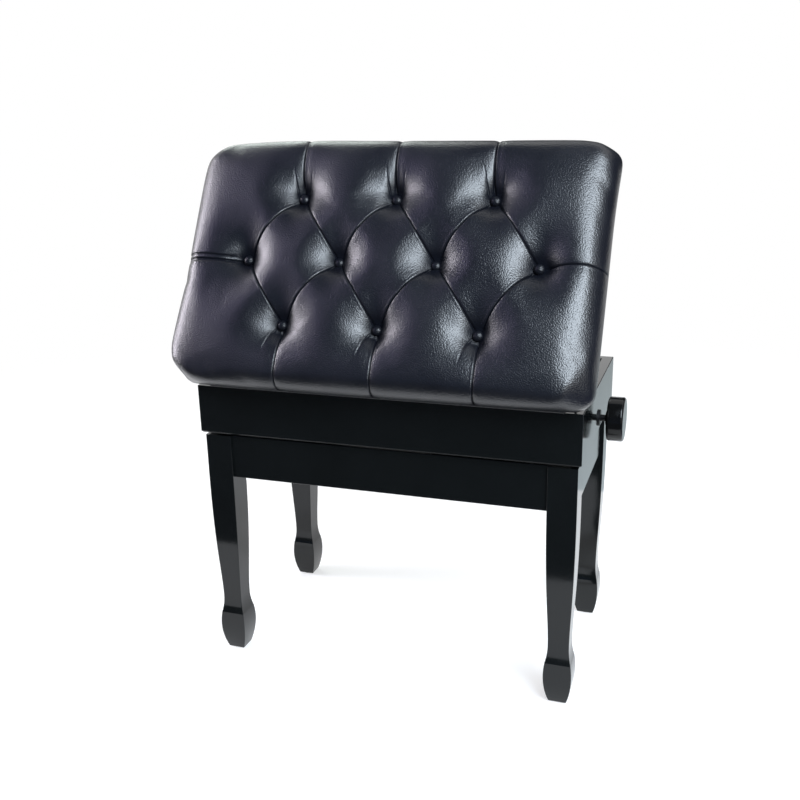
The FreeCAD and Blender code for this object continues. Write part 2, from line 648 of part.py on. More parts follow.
def pleat_lines(half_x, half_y):
    """Diamond pleats between neighbouring buttons, and pleats from the outer buttons to the edges."""
    lines, edge_lines = [], []
    places = button_places()
    for x0, y0 in places:
        for side in (-1, 1):
            other = (x0 + side * BUTTON_PITCH / 2, y0 + BUTTON_ROW)
            if any(math.hypot(other[0] - x, other[1] - y) < NEAR for x, y in places):
                lines.append(((x0, y0), other))
        if abs(y0) > BUTTON_ROW / 2:
            edge_lines.append(((x0, y0), (x0, math.copysign(half_y, y0))))
        elif abs(x0) > BUTTON_PITCH:
            edge_lines.append(((x0, y0), (math.copysign(half_x, x0), y0)))
    return lines, edge_lines


def seat_section(x, inset):
    """Upright cut through the padded seat: flat underside, sides drawn in below, shoulder and crown."""
    half_x = SEAT_LENGTH / 2 - inset
    from_end = half_x - abs(x)
    corner = max(SEAT_CORNER - from_end, 0)
    depth = SEAT_DEPTH / 2 - inset - SEAT_CORNER + math.sqrt(SEAT_CORNER ** 2 - corner ** 2)
    shoulder = max(SEAT_SHOULDER - from_end * SEAT_SHOULDER / SEAT_CORNER, 0)
    edge = SEAT_EDGE_HEIGHT - inset - SEAT_SHOULDER + math.sqrt(SEAT_SHOULDER ** 2 - shoulder ** 2)
    crown = edge + (SEAT_THICKNESS - SEAT_EDGE_HEIGHT) * (1 - (x / half_x) ** 2) + CROWN_LEAST
    bend = min(SEAT_SHOULDER, edge / 2)
    diagonal = bend * (1 - math.sqrt(0.5))

    def at(y, z):
        return V(x, seat_y + y, lid_bottom + z)

    def side(s):
        low = at(s * (depth - SEAT_TUCK), 0)
        belly = at(s * depth, (edge - bend) / 2)
        bend_start = at(s * depth, edge - bend)
        bend_middle = at(s * (depth - diagonal), edge - diagonal)
        bend_end = at(s * (depth - bend), edge)
        wall = Part.Arc(low, belly, bend_start)
        turn = Part.Arc(bend_start, bend_middle, bend_end)
        return [wall.toShape(), turn.toShape()]

    top = Part.Arc(at(depth - bend, edge), at(0, crown), at(-(depth - bend), edge)).toShape()
    floor = Part.makeLine(at(-(depth - SEAT_TUCK), 0), at(depth - SEAT_TUCK, 0))
    return Part.Wire(Part.__sortEdges__(side(1) + [top] + side(-1) + [floor]))


def seat_form(inset):
    """Padded form with its button wells and pleats, drawn in all round by an inset."""
    half_x = SEAT_LENGTH / 2 - inset
    half_y = SEAT_DEPTH / 2 - inset
    steps = [SEAT_CORNER * (1 - math.cos(math.radians(angle))) for angle in (0, 30, 60, 90)]
    stations = [-half_x + s for s in steps] + [0.0] + [half_x - s for s in reversed(steps)]
    form = Part.makeLoft([seat_section(x, inset) for x in stations], True, True)
    tools = []
    for x, y in button_places():
        well = V(x, seat_y + y, lid_bottom + BUTTON_SEAT + TUFT_RADIUS)
        tools.append(Part.makeSphere(TUFT_RADIUS + inset, well))
    lines, edge_lines = pleat_lines(half_x + SEAT_SHOULDER, half_y + SEAT_SHOULDER)
    base = SEAT_THICKNESS - PLEAT_DEPTH
    tools += [pleat(a, base, b, base, inset) for a, b in lines]
    tools += [pleat(a, base, b, base - PLEAT_FALL, inset) for a, b in edge_lines]
    return form.cut(tools)


def pleat(start, start_height, end, end_height, inset):
    """Wedge that cuts one pleat, with its point along the bottom of the fold."""
    along = V(end[0] - start[0], end[1] - start[1], 0)
    along.normalize()
    rise = V(0, 0, PLEAT_REACH)
    half = V(-along.y, along.x, 0) * (PLEAT_WIDTH / 2 * PLEAT_REACH / PLEAT_DEPTH)
    wires = []
    for place, height in [(start, start_height), (end, end_height)]:
        tip = V(place[0], seat_y + place[1], lid_bottom + height - 2 * inset)
        wires.append(Part.makePolygon([tip, tip + half + rise, tip - half + rise, tip]))
    return Part.makeLoft(wires, True, True)


def rounded_plate(half_x, half_y, corner, z0, z1):
    """Flat plate with round corners, centred under the seat."""
    plate = block(-half_x, half_x, seat_y - half_y, seat_y + half_y, z0, z1)
    uprights = [e for e in plate.Edges if e.BoundBox.ZLength > (z1 - z0) / 2]
    return plate.makeFillet(corner, uprights)


def make_seat():
    """Seat: plywood board, foam pad, buttoned leather cover wrapped under the board, and a lining."""
    wall = LEATHER_THICKNESS + SEAT_TUCK
    half_x = SEAT_LENGTH / 2 - wall
    half_y = SEAT_DEPTH / 2 - wall
    corner = SEAT_CORNER - wall
    board = rounded_plate(half_x, half_y, corner, board_bottom, board_top)
    wrap_x = half_x - LEATHER_WRAP
    wrap_y = half_y - LEATHER_WRAP
    window = block(-wrap_x, wrap_x, seat_y - wrap_y, seat_y + wrap_y, lid_bottom, board_bottom)
    lining_x = wrap_x - LINING_PLAY
    lining_y = wrap_y - LINING_PLAY
    lining = block(-lining_x, lining_x, seat_y - lining_y, seat_y + lining_y, lid_bottom, board_bottom)
    above = block(-SEAT_LENGTH, SEAT_LENGTH, seat_y - SEAT_DEPTH, seat_y + SEAT_DEPTH, board_top,
                  board_top + 2 * SEAT_THICKNESS)
    foam = seat_form(LEATHER_THICKNESS).common(above)
    cover = seat_form(0.0).cut([foam, board, window])
    buttons, ties, holes = [], [], []
    for x, y in button_places():
        seat = V(x, seat_y + y, lid_bottom + BUTTON_SEAT)
        dome_radius = (BUTTON_RADIUS ** 2 + BUTTON_DOME ** 2) / (2 * BUTTON_DOME)
        lift = BUTTON_RADIUS ** 2 / (2 * TUFT_RADIUS) + BUTTON_LIFT
        underside = seat + Z_AXIS * lift
        rim_top = underside + Z_AXIS * BUTTON_RIM
        ball = Part.makeSphere(dome_radius, rim_top + Z_AXIS * (BUTTON_DOME - dome_radius))
        dome = ball.common(rod(BUTTON_RADIUS, rim_top, rim_top + Z_AXIS * dome_radius))
        buttons.append(opened(join([rod(BUTTON_RADIUS, underside, rim_top), dome])))
        tie = rod(TIE_RADIUS, V(x, seat_y + y, board_bottom), underside)
        ties.append(opened(tie))
        holes.append(tie)
    leaf_seats = [V(x, leaf_middle(), lid_bottom - LEAF_THICKNESS) for x in hinge_screw_places()]
    screw_holes = [rod(SMALL_SCREW_RADIUS, seat, seat + Z_AXIS * SMALL_SCREW_LENGTH) for seat in leaf_seats]
    for side, name in END_SIDES:
        screw_holes += [rod(SMALL_SCREW_RADIUS, seat, seat + Z_AXIS * SMALL_SCREW_LENGTH)
                        for seat in bracket_screw_places(side)]
    save("seat_board", opened(board.cut(holes + screw_holes)))
    save("seat_foam", opened(foam.cut(holes)))
    save("seat_cover", opened(cover.cut(holes + screw_holes)))
    save("seat_lining", opened(lining.cut(screw_holes)))
    save("seat_buttons", buttons)
    save("button_ties", ties)


# Lid stays. The track lies on a line through the hinge axis, and each arm is as long as the distance
# from the hinge axis to its lid pivot, so the arm's foot stays on that line while the lid swings.
stay_reach = (inner_y - hinge_y - STAY_END_GAP) / 2
track_drop = hinge_z - (tray_top + TRACK_FLOOR_GAP + TRACK_WIDTH / 2)
track_slope = math.asin(track_drop / (2 * stay_reach))
stay_dip = math.asin((STAY_DROP - (lid_bottom - hinge_z)) / stay_reach)
open_turn = math.radians(LID_ANGLE)
foot_open = 2 * stay_reach * math.cos(open_turn - stay_dip + track_slope)
foot_closed = 2 * stay_reach * math.cos(track_slope - stay_dip)
track_out = inner_x - TRACK_SPACER
arm_out = track_out - TRACK_THICKNESS - STAY_GAP
bracket_out = arm_out - STAY_THICKNESS - STAY_SIDE_GAP


def on_track(x, distance):
    """Point on the line of the track, at a distance from the hinge axis."""
    return V(x, hinge_y + distance * math.cos(track_slope), hinge_z - distance * math.sin(track_slope))


def stay_pivot(x, turn):
    """Lid pivot of a stay when the lid has swung up by an angle."""
    angle = turn - stay_dip
    return V(x, hinge_y + stay_reach * math.cos(angle), hinge_z + stay_reach * math.sin(angle))


def track_screw_places(side):
    """Screw seats on the end board, behind the two feet of a track."""
    return [on_track(side * inner_x, d) for d in (foot_open - TRACK_FOOT, foot_closed + TRACK_FOOT)]


def bracket_screw_places(side):
    """Screw seats under the closed lid, in the foot of a stay bracket."""
    x = side * (bracket_out - STAY_THICKNESS - BRACKET_WIDTH / 2)
    y = stay_pivot(0, 0).y
    return [V(x, y + step * BRACKET_LENGTH / 3, lid_bottom - STAY_THICKNESS) for step in (-1, 1)]


def strip(thickness, start, end, width):
    """Flat bar with round ends in an upright plane across the box."""
    along = end - start
    along.normalize()
    across = V(0, -along.z, along.y) * (width / 2)
    depth = V(thickness, 0, 0)
    bar = prism([start + across, end + across, end - across, start - across], depth)
    return join([bar, rod(width / 2, start, start + depth), rod(width / 2, end, end + depth)])


def make_stays():
    """Two sliding lid stays: slotted tracks on the end boards, arms, and brackets under the lid."""
    slot = 2 * (STAY_PIN_RADIUS + STAY_PIN_PLAY)
    tracks, track_screws, foot_pins = [], [], []
    brackets, lid_pins, bracket_screws = [], [], []
    for side, name in END_SIDES:
        face = side * track_out
        track = strip(-side * TRACK_THICKNESS, on_track(face, foot_open - TRACK_FOOT),
                      on_track(face, foot_closed + TRACK_FOOT), TRACK_WIDTH)
        slot_ends = on_track(face, foot_open), on_track(face, foot_closed)
        track = track.cut(strip(-side * TRACK_THICKNESS, slot_ends[0], slot_ends[1], slot))
        feet = [rod(TRACK_WIDTH / 2, on_track(face, d), on_track(side * inner_x, d))
                for d in (foot_open - TRACK_FOOT, foot_closed + TRACK_FOOT)]
        head_room = [rod(STAY_HEAD_RADIUS + STAY_PIN_PLAY * 2, on_track(face, d), on_track(side * inner_x, d))
                     for d in (foot_open, foot_closed)]
        track = join([track] + [foot.cut(head_room) for foot in feet])
        front = track_out - TRACK_THICKNESS
        for seat in track_screw_places(side):
            head_seat = V(side * front, seat.y, seat.z)
            track = track.cut(rod(SMALL_SCREW_RADIUS, head_seat, seat))
            long_shank = TRACK_THICKNESS + TRACK_SPACER + SMALL_SCREW_LENGTH
            track_screws.append(screw(head_seat, V(side, 0, 0), long_shank, SMALL_SCREW_RADIUS,
                                      SMALL_HEAD_RADIUS, SMALL_HEAD))
        tracks.append(track)
        arm_face = side * arm_out
        pivot = stay_pivot(arm_face, open_turn)
        foot = on_track(arm_face, foot_open)
        bar = strip(-side * STAY_THICKNESS, pivot, foot, STAY_WIDTH)
        through = X_AXIS * STAY_WIDTH
        bar = bar.cut(rod(STAY_PIN_RADIUS + RUNNING_FIT, pivot + through, pivot - through))
        pin_end = V(side * (track_out + STAY_HEAD_GAP), foot.y, foot.z)
        head_end = pin_end + V(side * STAY_HEAD, 0, 0)
        foot_pin = join([rod(STAY_PIN_RADIUS, V(side * (arm_out - STAY_THICKNESS), foot.y, foot.z), pin_end),
                         rod(STAY_HEAD_RADIUS, pin_end, head_end)])
        save("stay_arm_" + name, bar.cut(rod(STAY_PIN_RADIUS, foot - through, foot + through)))
        foot_pins.append(foot_pin)
        closed = stay_pivot(side * bracket_out, 0)
        tab = block(side * bracket_out, side * (bracket_out - STAY_THICKNESS), closed.y - STAY_WIDTH / 2,
                    closed.y + STAY_WIDTH / 2, closed.z, lid_bottom)
        nose = rod(STAY_WIDTH / 2, closed, closed - V(side * STAY_THICKNESS, 0, 0))
        base = block(side * bracket_out, side * (bracket_out - STAY_THICKNESS - BRACKET_WIDTH),
                     closed.y - BRACKET_LENGTH / 2, closed.y + BRACKET_LENGTH / 2,
                     lid_bottom - STAY_THICKNESS, lid_bottom)
        bracket = join([tab, nose, base])
        for seat in bracket_screw_places(side):
            bracket = bracket.cut(rod(SMALL_SCREW_RADIUS, seat, seat + Z_AXIS * STAY_THICKNESS))
            bracket_screws.append(opened(small_screw(seat, Z_AXIS)))
        inner_end = closed - V(side * STAY_THICKNESS, 0, 0)
        outer_end = V(side * (arm_out + RUNNING_FIT * 2), closed.y, closed.z)
        bracket = bracket.cut(rod(STAY_PIN_RADIUS, inner_end - V(side, 0, 0), outer_end))
        lid_pin = join([rod(STAY_PIN_RADIUS, inner_end, outer_end),
                        rod(STAY_HEAD_RADIUS, outer_end, outer_end + V(side * STAY_HEAD, 0, 0))])
        brackets.append(opened(bracket))
        lid_pins.append(opened(lid_pin))
    save("stay_tracks", tracks)
    save("stay_foot_pins", foot_pins)
    save("stay_brackets", brackets)
    save("stay_lid_pins", lid_pins)
    save("stay_track_screws", track_screws)
    save("stay_bracket_screws", bracket_screws)


os.makedirs("parts", exist_ok=True)
make_legs()
make_aprons()
make_corner_plates()
make_rails()
make_scissors()
make_spindle()
make_box()
make_hinge()
make_seat()
make_stays()
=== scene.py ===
import json
import math
import bmesh
import bpy
import numpy as np
from mathutils import Matrix, Vector


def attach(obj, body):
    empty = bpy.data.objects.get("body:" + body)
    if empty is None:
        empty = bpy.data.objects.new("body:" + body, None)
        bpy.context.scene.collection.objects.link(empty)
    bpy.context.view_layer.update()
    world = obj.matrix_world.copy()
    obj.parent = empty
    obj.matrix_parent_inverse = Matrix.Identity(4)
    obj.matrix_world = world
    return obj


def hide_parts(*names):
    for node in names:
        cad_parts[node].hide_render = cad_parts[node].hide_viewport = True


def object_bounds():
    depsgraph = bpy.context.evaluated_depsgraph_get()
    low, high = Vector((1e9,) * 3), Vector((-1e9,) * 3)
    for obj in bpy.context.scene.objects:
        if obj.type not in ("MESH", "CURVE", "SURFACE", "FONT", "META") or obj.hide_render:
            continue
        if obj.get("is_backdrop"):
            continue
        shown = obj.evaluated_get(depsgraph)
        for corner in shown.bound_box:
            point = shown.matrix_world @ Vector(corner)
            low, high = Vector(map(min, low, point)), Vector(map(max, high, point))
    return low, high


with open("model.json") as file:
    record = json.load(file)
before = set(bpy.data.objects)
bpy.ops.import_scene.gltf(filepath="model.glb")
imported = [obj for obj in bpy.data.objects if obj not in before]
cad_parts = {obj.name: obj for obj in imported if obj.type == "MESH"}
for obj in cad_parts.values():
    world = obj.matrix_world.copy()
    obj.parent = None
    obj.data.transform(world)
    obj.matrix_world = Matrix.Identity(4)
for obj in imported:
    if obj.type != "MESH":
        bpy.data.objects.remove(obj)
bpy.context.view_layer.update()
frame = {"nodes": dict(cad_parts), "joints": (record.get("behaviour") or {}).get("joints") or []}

# Adjustable piano stool with a hinged, deep-buttoned seat. Metres, Z up, origin on the floor midway
# between the legs. The sections follow the stool as it is put together, from the legs to the seat.


# Legs and aprons. Hardwood shaped on all four sides, filled, sprayed with black polyester lacquer and
# polished, so that they mirror the room. Each leg is pulled into its corner between two aprons.
def linear(code):
    """Linear colour from an sRGB hex value."""
    shares = [int(code[k:k + 2], 16) / 255 for k in (1, 3, 5)]
    return [c / 12.92 if c <= 0.04045 else ((c + 0.055) / 1.055) ** 2.4 for c in shares] + [1.0]


def add(tree, kind, inputs=None, **settings):
    """Add a node with its settings; an input is a value or the socket that feeds it."""
    made = tree.nodes.new(kind)
    for name, value in settings.items():
        setattr(made, name, value)
    for name, value in (inputs or {}).items():
        if isinstance(value, bpy.types.NodeSocket):
            tree.links.new(value, made.inputs[name])
        else:
            made.inputs[name].default_value = value
    return made


def new_material(name):
    """Empty principled material, with its tree, shader and object coordinates."""
    material = bpy.data.materials.new(name)
    material.use_nodes = True
    tree = material.node_tree
    shader = tree.nodes["Principled BSDF"]
    return material, tree, shader, add(tree, "ShaderNodeTexCoord").outputs["Object"]


def dress(material, *nodes):
    """Give a finish to the solids that keep their own shape."""
    for name in nodes:
        for holder in frame["nodes"][name].material_slots:
            holder.material = material


# Polyester lacquer: a deep mirror black with a trace of orange peel and a little polishing haze.
lacquer, tree, shader, place = new_material("black_polyester_lacquer")
ORANGE_PEEL = 0.006
POLISH_HAZE = 0.09
haze = add(tree, "ShaderNodeTexNoise", {"Vector": place, "Scale": 1 / POLISH_HAZE, "Detail": 4.0})
gloss = add(tree, "ShaderNodeMapRange", {"Value": haze.outputs["Fac"], "From Min": 0.3, "From Max": 0.7,
                                         "To Min": 0.07, "To Max": 0.13})
tone = add(tree, "ShaderNodeMix", {"Factor": haze.outputs["Fac"], "A": linear("#0a0c0c"),
                                   "B": linear("#111415")}, data_type="RGBA")
peel = add(tree, "ShaderNodeTexNoise", {"Vector": place, "Scale": 1 / ORANGE_PEEL, "Detail": 1.0})
skin = add(tree, "ShaderNodeBump", {"Height": peel.outputs["Fac"], "Strength": 0.04, "Distance": 0.0004})
tree.links.new(tone.outputs["Result"], shader.inputs["Base Color"])
tree.links.new(gloss.outputs["Result"], shader.inputs["Roughness"])
tree.links.new(skin.outputs["Normal"], shader.inputs["Normal"])
shader.inputs["Specular IOR Level"].default_value = 0.36
CORNERS = ("front_left", "front_right", "rear_left", "rear_right")
SIDES = ("front", "rear", "left", "right")
dress(lacquer, *["leg_" + corner for corner in CORNERS], *["apron_" + side for side in SIDES])

# Foot glides. Discs punched from pressed wool felt and glued under the feet. The felt is dull, with a loose
# fibre surface; its fibres are drawn coarser than they are so that they show.
felt, tree, shader, place = new_material("pressed_felt")
FELT_FIBRE = 0.0012
fibre = add(tree, "ShaderNodeTexNoise", {"Vector": place, "Scale": 1 / FELT_FIBRE, "Detail": 5.0})
tone = add(tree, "ShaderNodeMix", {"Factor": fibre.outputs["Fac"], "A": linear("#191919"),
                                   "B": linear("#3a3836")}, data_type="RGBA")
nap = add(tree, "ShaderNodeBump", {"Height": fibre.outputs["Fac"], "Strength": 0.7, "Distance": 0.0006})
tree.links.new(tone.outputs["Result"], shader.inputs["Base Color"])
tree.links.new(nap.outputs["Normal"], shader.inputs["Normal"])
shader.inputs["Roughness"].default_value = 0.95
dress(felt, "foot_glides")

# Corner plates, leg bolts and nuts. Folded and cut from mild steel, then zinc plated: a pale grey metal
# with faint cloudy crystals. The bolts pull the legs against the plates.
zinc, tree, shader, place = new_material("zinc_plated_steel")
ZINC_CLOUD = 0.008
cloud = add(tree, "ShaderNodeTexVoronoi", {"Vector": place, "Scale": 1 / ZINC_CLOUD})
tone = add(tree, "ShaderNodeMix", {"Factor": cloud.outputs["Distance"], "A": linear("#c9c8c2"),
                                   "B": linear("#a5a6a4")}, data_type="RGBA")
worn = add(tree, "ShaderNodeMapRange", {"Value": cloud.outputs["Distance"], "To Min": 0.24, "To Max": 0.42})
tree.links.new(tone.outputs["Result"], shader.inputs["Base Color"])
tree.links.new(worn.outputs["Result"], shader.inputs["Roughness"])
shader.inputs["Metallic"].default_value = 1.0
dress(zinc, "corner_plates", "leg_bolts", "leg_nuts")

# Scissor lift. Channel rails screwed to the long aprons and box boards carry two crossed pairs of flat bars,
# which turn on zinc-plated shafts and pins. Rails and bars are pressed steel under a black powder coat: soft
# sheen with a fine orange-peel texture.
powder, tree, shader, place = new_material("black_powder_coat")
POWDER_PEEL = 0.0016
pebble = add(tree, "ShaderNodeTexNoise", {"Vector": place, "Scale": 1 / POWDER_PEEL, "Detail": 2.0})
tone = add(tree, "ShaderNodeMix", {"Factor": pebble.outputs["Fac"], "A": linear("#121213"),
                                   "B": linear("#222325")}, data_type="RGBA")
rough = add(tree, "ShaderNodeBump", {"Height": pebble.outputs["Fac"], "Strength": 0.35, "Distance": 0.0002})
tree.links.new(tone.outputs["Result"], shader.inputs["Base Color"])
tree.links.new(rough.outputs["Normal"], shader.inputs["Normal"])
shader.inputs["Roughness"].default_value = 0.48
dress(powder, "lower_rail_front", "lower_rail_rear", "upper_rail_front", "upper_rail_rear", "outer_arm_front",
      "outer_arm_rear", "inner_arm_front", "inner_arm_rear", "drive_bar", "fixed_bar")
dress(zinc, "lower_pivot_shaft", "lower_slide_shaft", "scissor_pins")

# Slide sleeves. Turned from natural nylon, they roll in the rails: milky, waxy and slightly see-through.
# The turning marks are drawn coarser than they are so that they show.
nylon, tree, shader, place = new_material("natural_nylon")
NYLON_TURNING = 0.0008
rings = add(tree, "ShaderNodeTexNoise", {"Vector": place, "Scale": 1 / NYLON_TURNING, "Detail": 1.0})
tone = add(tree, "ShaderNodeMix", {"Factor": rings.outputs["Fac"], "A": linear("#dcd9cf"),
                                   "B": linear("#ece9e0")}, data_type="RGBA")
tree.links.new(tone.outputs["Result"], shader.inputs["Base Color"])
shader.inputs["Roughness"].default_value = 0.4
shader.inputs["Subsurface Weight"].default_value = 0.15
shader.inputs["Subsurface Radius"].default_value = (0.002, 0.002, 0.002)
dress(nylon, "lower_slide_sleeves", "upper_slide_sleeves")

# Spindle. Steel bar with a rolled thread where the nut runs, held by a collar in the fixed bar and by a
# bush in the box's end board. The nut is turned brass: warm and bright, with a little tarnish.
brass, tree, shader, place = new_material("turned_brass")
BRASS_TARNISH = 0.012
tarnish = add(tree, "ShaderNodeTexNoise", {"Vector": place, "Scale": 1 / BRASS_TARNISH, "Detail": 3.0})
tone = add(tree, "ShaderNodeMix", {"Factor": tarnish.outputs["Fac"], "A": linear("#a9853c"),
                                   "B": linear("#cfae63")}, data_type="RGBA")
tree.links.new(tone.outputs["Result"], shader.inputs["Base Color"])
shader.inputs["Metallic"].default_value = 1.0
shader.inputs["Roughness"].default_value = 0.28
dress(brass, "drive_nut")
dress(zinc, "spindle_collar")

# Blackened steel, on the bush and on the bar outside the box: an oiled oxide skin with a dull, dark sheen.
blackened, tree, shader, place = new_material("blackened_steel")
OXIDE_PATCH = 0.004
patches = add(tree, "ShaderNodeTexNoise", {"Vector": place, "Scale": 1 / OXIDE_PATCH, "Detail": 3.0})
tone = add(tree, "ShaderNodeMix", {"Factor": patches.outputs["Fac"], "A": linear("#0e0e10"),
                                   "B": linear("#1c1c1f")}, data_type="RGBA")
tree.links.new(tone.outputs["Result"], shader.inputs["Base Color"])
shader.inputs["Roughness"].default_value = 0.42
shader.inputs["Specular IOR Level"].default_value = 0.3
dress(blackened, "spindle_bush")
THREAD_PITCH = 0.003
THREAD_DEPTH = 0.0017
THREAD_STEPS = 8
ROUND_STEPS = 40
BOX_END = 0.2625
SAME_PLACE = 1e-5
SHARP_EDGE = math.radians(40)


def bridge(shape, rings):
    """Faces between rings of vertices that follow one another."""
    for low, high in zip(rings, rings[1:]):
        for k in range(len(low)):
            n = (k + 1) % len(low)
            shape.faces.new((low[k], low[n], high[n], high[k]))


def finish_mesh(shape, name):
    """Mesh of a shape that has been put together, which is then let go."""
    mesh = bpy.data.meshes.new(name)
    shape.to_mesh(mesh)
    shape.free()
    return mesh


def show(name, data):
    """Object in the scene that holds a mesh, a light or a lens."""
    thing = bpy.data.objects.new(name, data)
    bpy.context.scene.collection.objects.link(thing)
    return thing


solid = frame["nodes"]["spindle"]
points = np.array([solid.matrix_world @ v.co for v in solid.data.vertices])
axis_y, axis_z = (points[:, 1:].min(axis=0) + points[:, 1:].max(axis=0)) / 2
radius = np.hypot(points[:, 1] - axis_y, points[:, 2] - axis_z)
thread_radius = radius.max()
thread = points[radius > thread_radius - SAME_PLACE][:, 0]
thread_start, thread_end = thread.min(), thread.max()
thread_length = thread_end - thread_start
turn_count = round(thread_length / THREAD_PITCH * THREAD_STEPS)
rows = [(points[:, 0].min(), None)]
for x in sorted({round(float(x), 5) for x in points[:, 0]}):
    at_step = radius[np.abs(points[:, 0] - x) < SAME_PLACE]
    step = [at_step.min(), at_step.max()]
    rows += [(x, r) for r in (step if x < (thread_start + thread_end) / 2 else step[::-1])]
    if abs(x - thread_start) < SAME_PLACE:
        rows += [(thread_start + thread_length * k / turn_count, "thread") for k in range(1, turn_count)]
rows += [(points[:, 0].max(), None)]
bare = next(k for k, (x, r) in enumerate(rows) if x > BOX_END)
rows.insert(bare, (BOX_END, rows[bare][1]))
bar = bmesh.new()
rings = []
for x, r in rows:
    ring = []
    for k in range(ROUND_STEPS):
        share = k / ROUND_STEPS
        if r == "thread":
            wave = abs(2 * (((x - thread_start) / THREAD_PITCH + share) % 1) - 1)
            reach = thread_radius - THREAD_DEPTH * wave
        else:
            reach = r or 0.0
        a = 2 * math.pi * share
        ring.append(bar.verts.new((x, axis_y + reach * math.cos(a), axis_z + reach * math.sin(a))))
    rings.append(ring)
bridge(bar, rings)
bmesh.ops.remove_doubles(bar, verts=bar.verts, dist=1e-6)
bmesh.ops.recalc_face_normals(bar, faces=bar.faces)
for face in bar.faces:
    face.smooth = True
    face.material_index = int(face.calc_center_median().x > BOX_END)
spindle = show("threaded_spindle", finish_mesh(bar, "threaded_spindle"))
for finish in (zinc, blackened):
    spindle.data.materials.append(finish)
spindle.data.set_sharp_from_angle(angle=SHARP_EDGE)
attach(spindle, "spindle")
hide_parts("spindle")

# Knob. Compression-moulded phenolic plastic, tumbled to a gloss and pressed on the spindle's end. It is a
# deep black with faint flow marks from the mould.
phenolic, tree, shader, place = new_material("black_phenolic")
MOULD_FLOW = 0.02
flow = add(tree, "ShaderNodeTexNoise", {"Vector": place, "Scale": 1 / MOULD_FLOW, "Detail": 4.0})
tone = add(tree, "ShaderNodeMix", {"Factor": flow.outputs["Fac"], "A": linear("#060606"),
                                   "B": linear("#101011")}, data_type="RGBA")
gloss = add(tree, "ShaderNodeMapRange", {"Value": flow.outputs["Fac"], "To Min": 0.06, "To Max": 0.2})
tree.links.new(tone.outputs["Result"], shader.inputs["Base Color"])
tree.links.new(gloss.outputs["Result"], shader.inputs["Roughness"])
shader.inputs["Specular IOR Level"].default_value = 0.25
dress(phenolic, "knob")

# Music box. Four mitred boards lacquered like the legs, with a thin plywood floor let into a groove and
# stained black: satin, with the grain just showing along the box.
dress(lacquer, *["box_board_" + side for side in SIDES])
stain, tree, shader, place = new_material("black_stained_plywood")
GRAIN_WIDTH = 0.004
GRAIN_LENGTH = 0.12
along = add(tree, "ShaderNodeMapping", {"Vector": place,
                                        "Scale": (1 / GRAIN_LENGTH, 1 / GRAIN_WIDTH, 1 / GRAIN_WIDTH)})
grain = add(tree, "ShaderNodeTexNoise", {"Vector": along.outputs["Vector"], "Scale": 1.0, "Detail": 4.0})
tone = add(tree, "ShaderNodeMix", {"Factor": grain.outputs["Fac"], "A": linear("#141312"),
                                   "B": linear("#2c2927")}, data_type="RGBA")
pores = add(tree, "ShaderNodeBump", {"Height": grain.outputs["Fac"], "Strength": 0.25, "Distance": 0.0003})
tree.links.new(tone.outputs["Result"], shader.inputs["Base Color"])
tree.links.new(pores.outputs["Normal"], shader.inputs["Normal"])
shader.inputs["Roughness"].default_value = 0.5
dress(stain, "tray_floor")

# Lid bumpers. Moulded rubber buttons on the box's rim, on which the closed lid comes to rest. The rubber is
# a dull black with a bloom of grey.
rubber, tree, shader, place = new_material("moulded_rubber")
BLOOM = 0.003
bloom = add(tree, "ShaderNodeTexNoise", {"Vector": place, "Scale": 1 / BLOOM, "Detail": 3.0})
tone = add(tree, "ShaderNodeMix", {"Factor": bloom.outputs["Fac"], "A": linear("#151515"),
                                   "B": linear("#262626")}, data_type="RGBA")
tree.links.new(tone.outputs["Result"], shader.inputs["Base Color"])
shader.inputs["Roughness"].default_value = 0.75
dress(rubber, "lid_bumpers")

# Continuous hinge. Two rolled steel leaves on one pin, powder coated black like the lift, and screwed to the
# box's front board and to the lid.
dress(powder, "hinge_leaf_box", "hinge_leaf_lid", "hinge_pin")

# Seat board, lining and ties. Birch plywood under the padding, pale with a long grain, is hidden below by a
# black non-woven lining whose pressed fibres give it a dull, slightly mottled face. Ties of waxed twine,
# laid in pale strands, hold the buttons down to the board.
birch, tree, shader, place = new_material("birch_plywood")
PLY_LENGTH = 0.15
PLY_WIDTH = 0.005
along = add(tree, "ShaderNodeMapping", {"Vector": place,
                                        "Scale": (1 / PLY_LENGTH, 1 / PLY_WIDTH, 1 / PLY_WIDTH)})
grain = add(tree, "ShaderNodeTexNoise", {"Vector": along.outputs["Vector"], "Scale": 1.0, "Detail": 4.0})
tone = add(tree, "ShaderNodeMix", {"Factor": grain.outputs["Fac"], "A": linear("#b08c5c"),
                                   "B": linear("#d9bd8f")}, data_type="RGBA")
tree.links.new(tone.outputs["Result"], shader.inputs["Base Color"])
shader.inputs["Roughness"].default_value = 0.6
dress(birch, "seat_board")
lining, tree, shader, place = new_material("non_woven_lining")
LINING_FIBRE = 0.0025
fibre = add(tree, "ShaderNodeTexNoise", {"Vector": place, "Scale": 1 / LINING_FIBRE, "Detail": 6.0})
tone = add(tree, "ShaderNodeMix", {"Factor": fibre.outputs["Fac"], "A": linear("#0e0e0f"),
                                   "B": linear("#2a2a2c")}, data_type="RGBA")
web = add(tree, "ShaderNodeBump", {"Height": fibre.outputs["Fac"], "Strength": 0.5, "Distance": 0.0004})
tree.links.new(tone.outputs["Result"], shader.inputs["Base Color"])
tree.links.new(web.outputs["Normal"], shader.inputs["Normal"])
shader.inputs["Roughness"].default_value = 0.9
dress(lining, "seat_lining")
twine, tree, shader, place = new_material("waxed_twine")
TWINE_LAY = 0.002
lay = add(tree, "ShaderNodeTexWave", {"Vector": place, "Scale": 1 / TWINE_LAY})
tone = add(tree, "ShaderNodeMix", {"Factor": lay.outputs["Fac"], "A": linear("#8d8468"),
                                   "B": linear("#c9bf9f")}, data_type="RGBA")
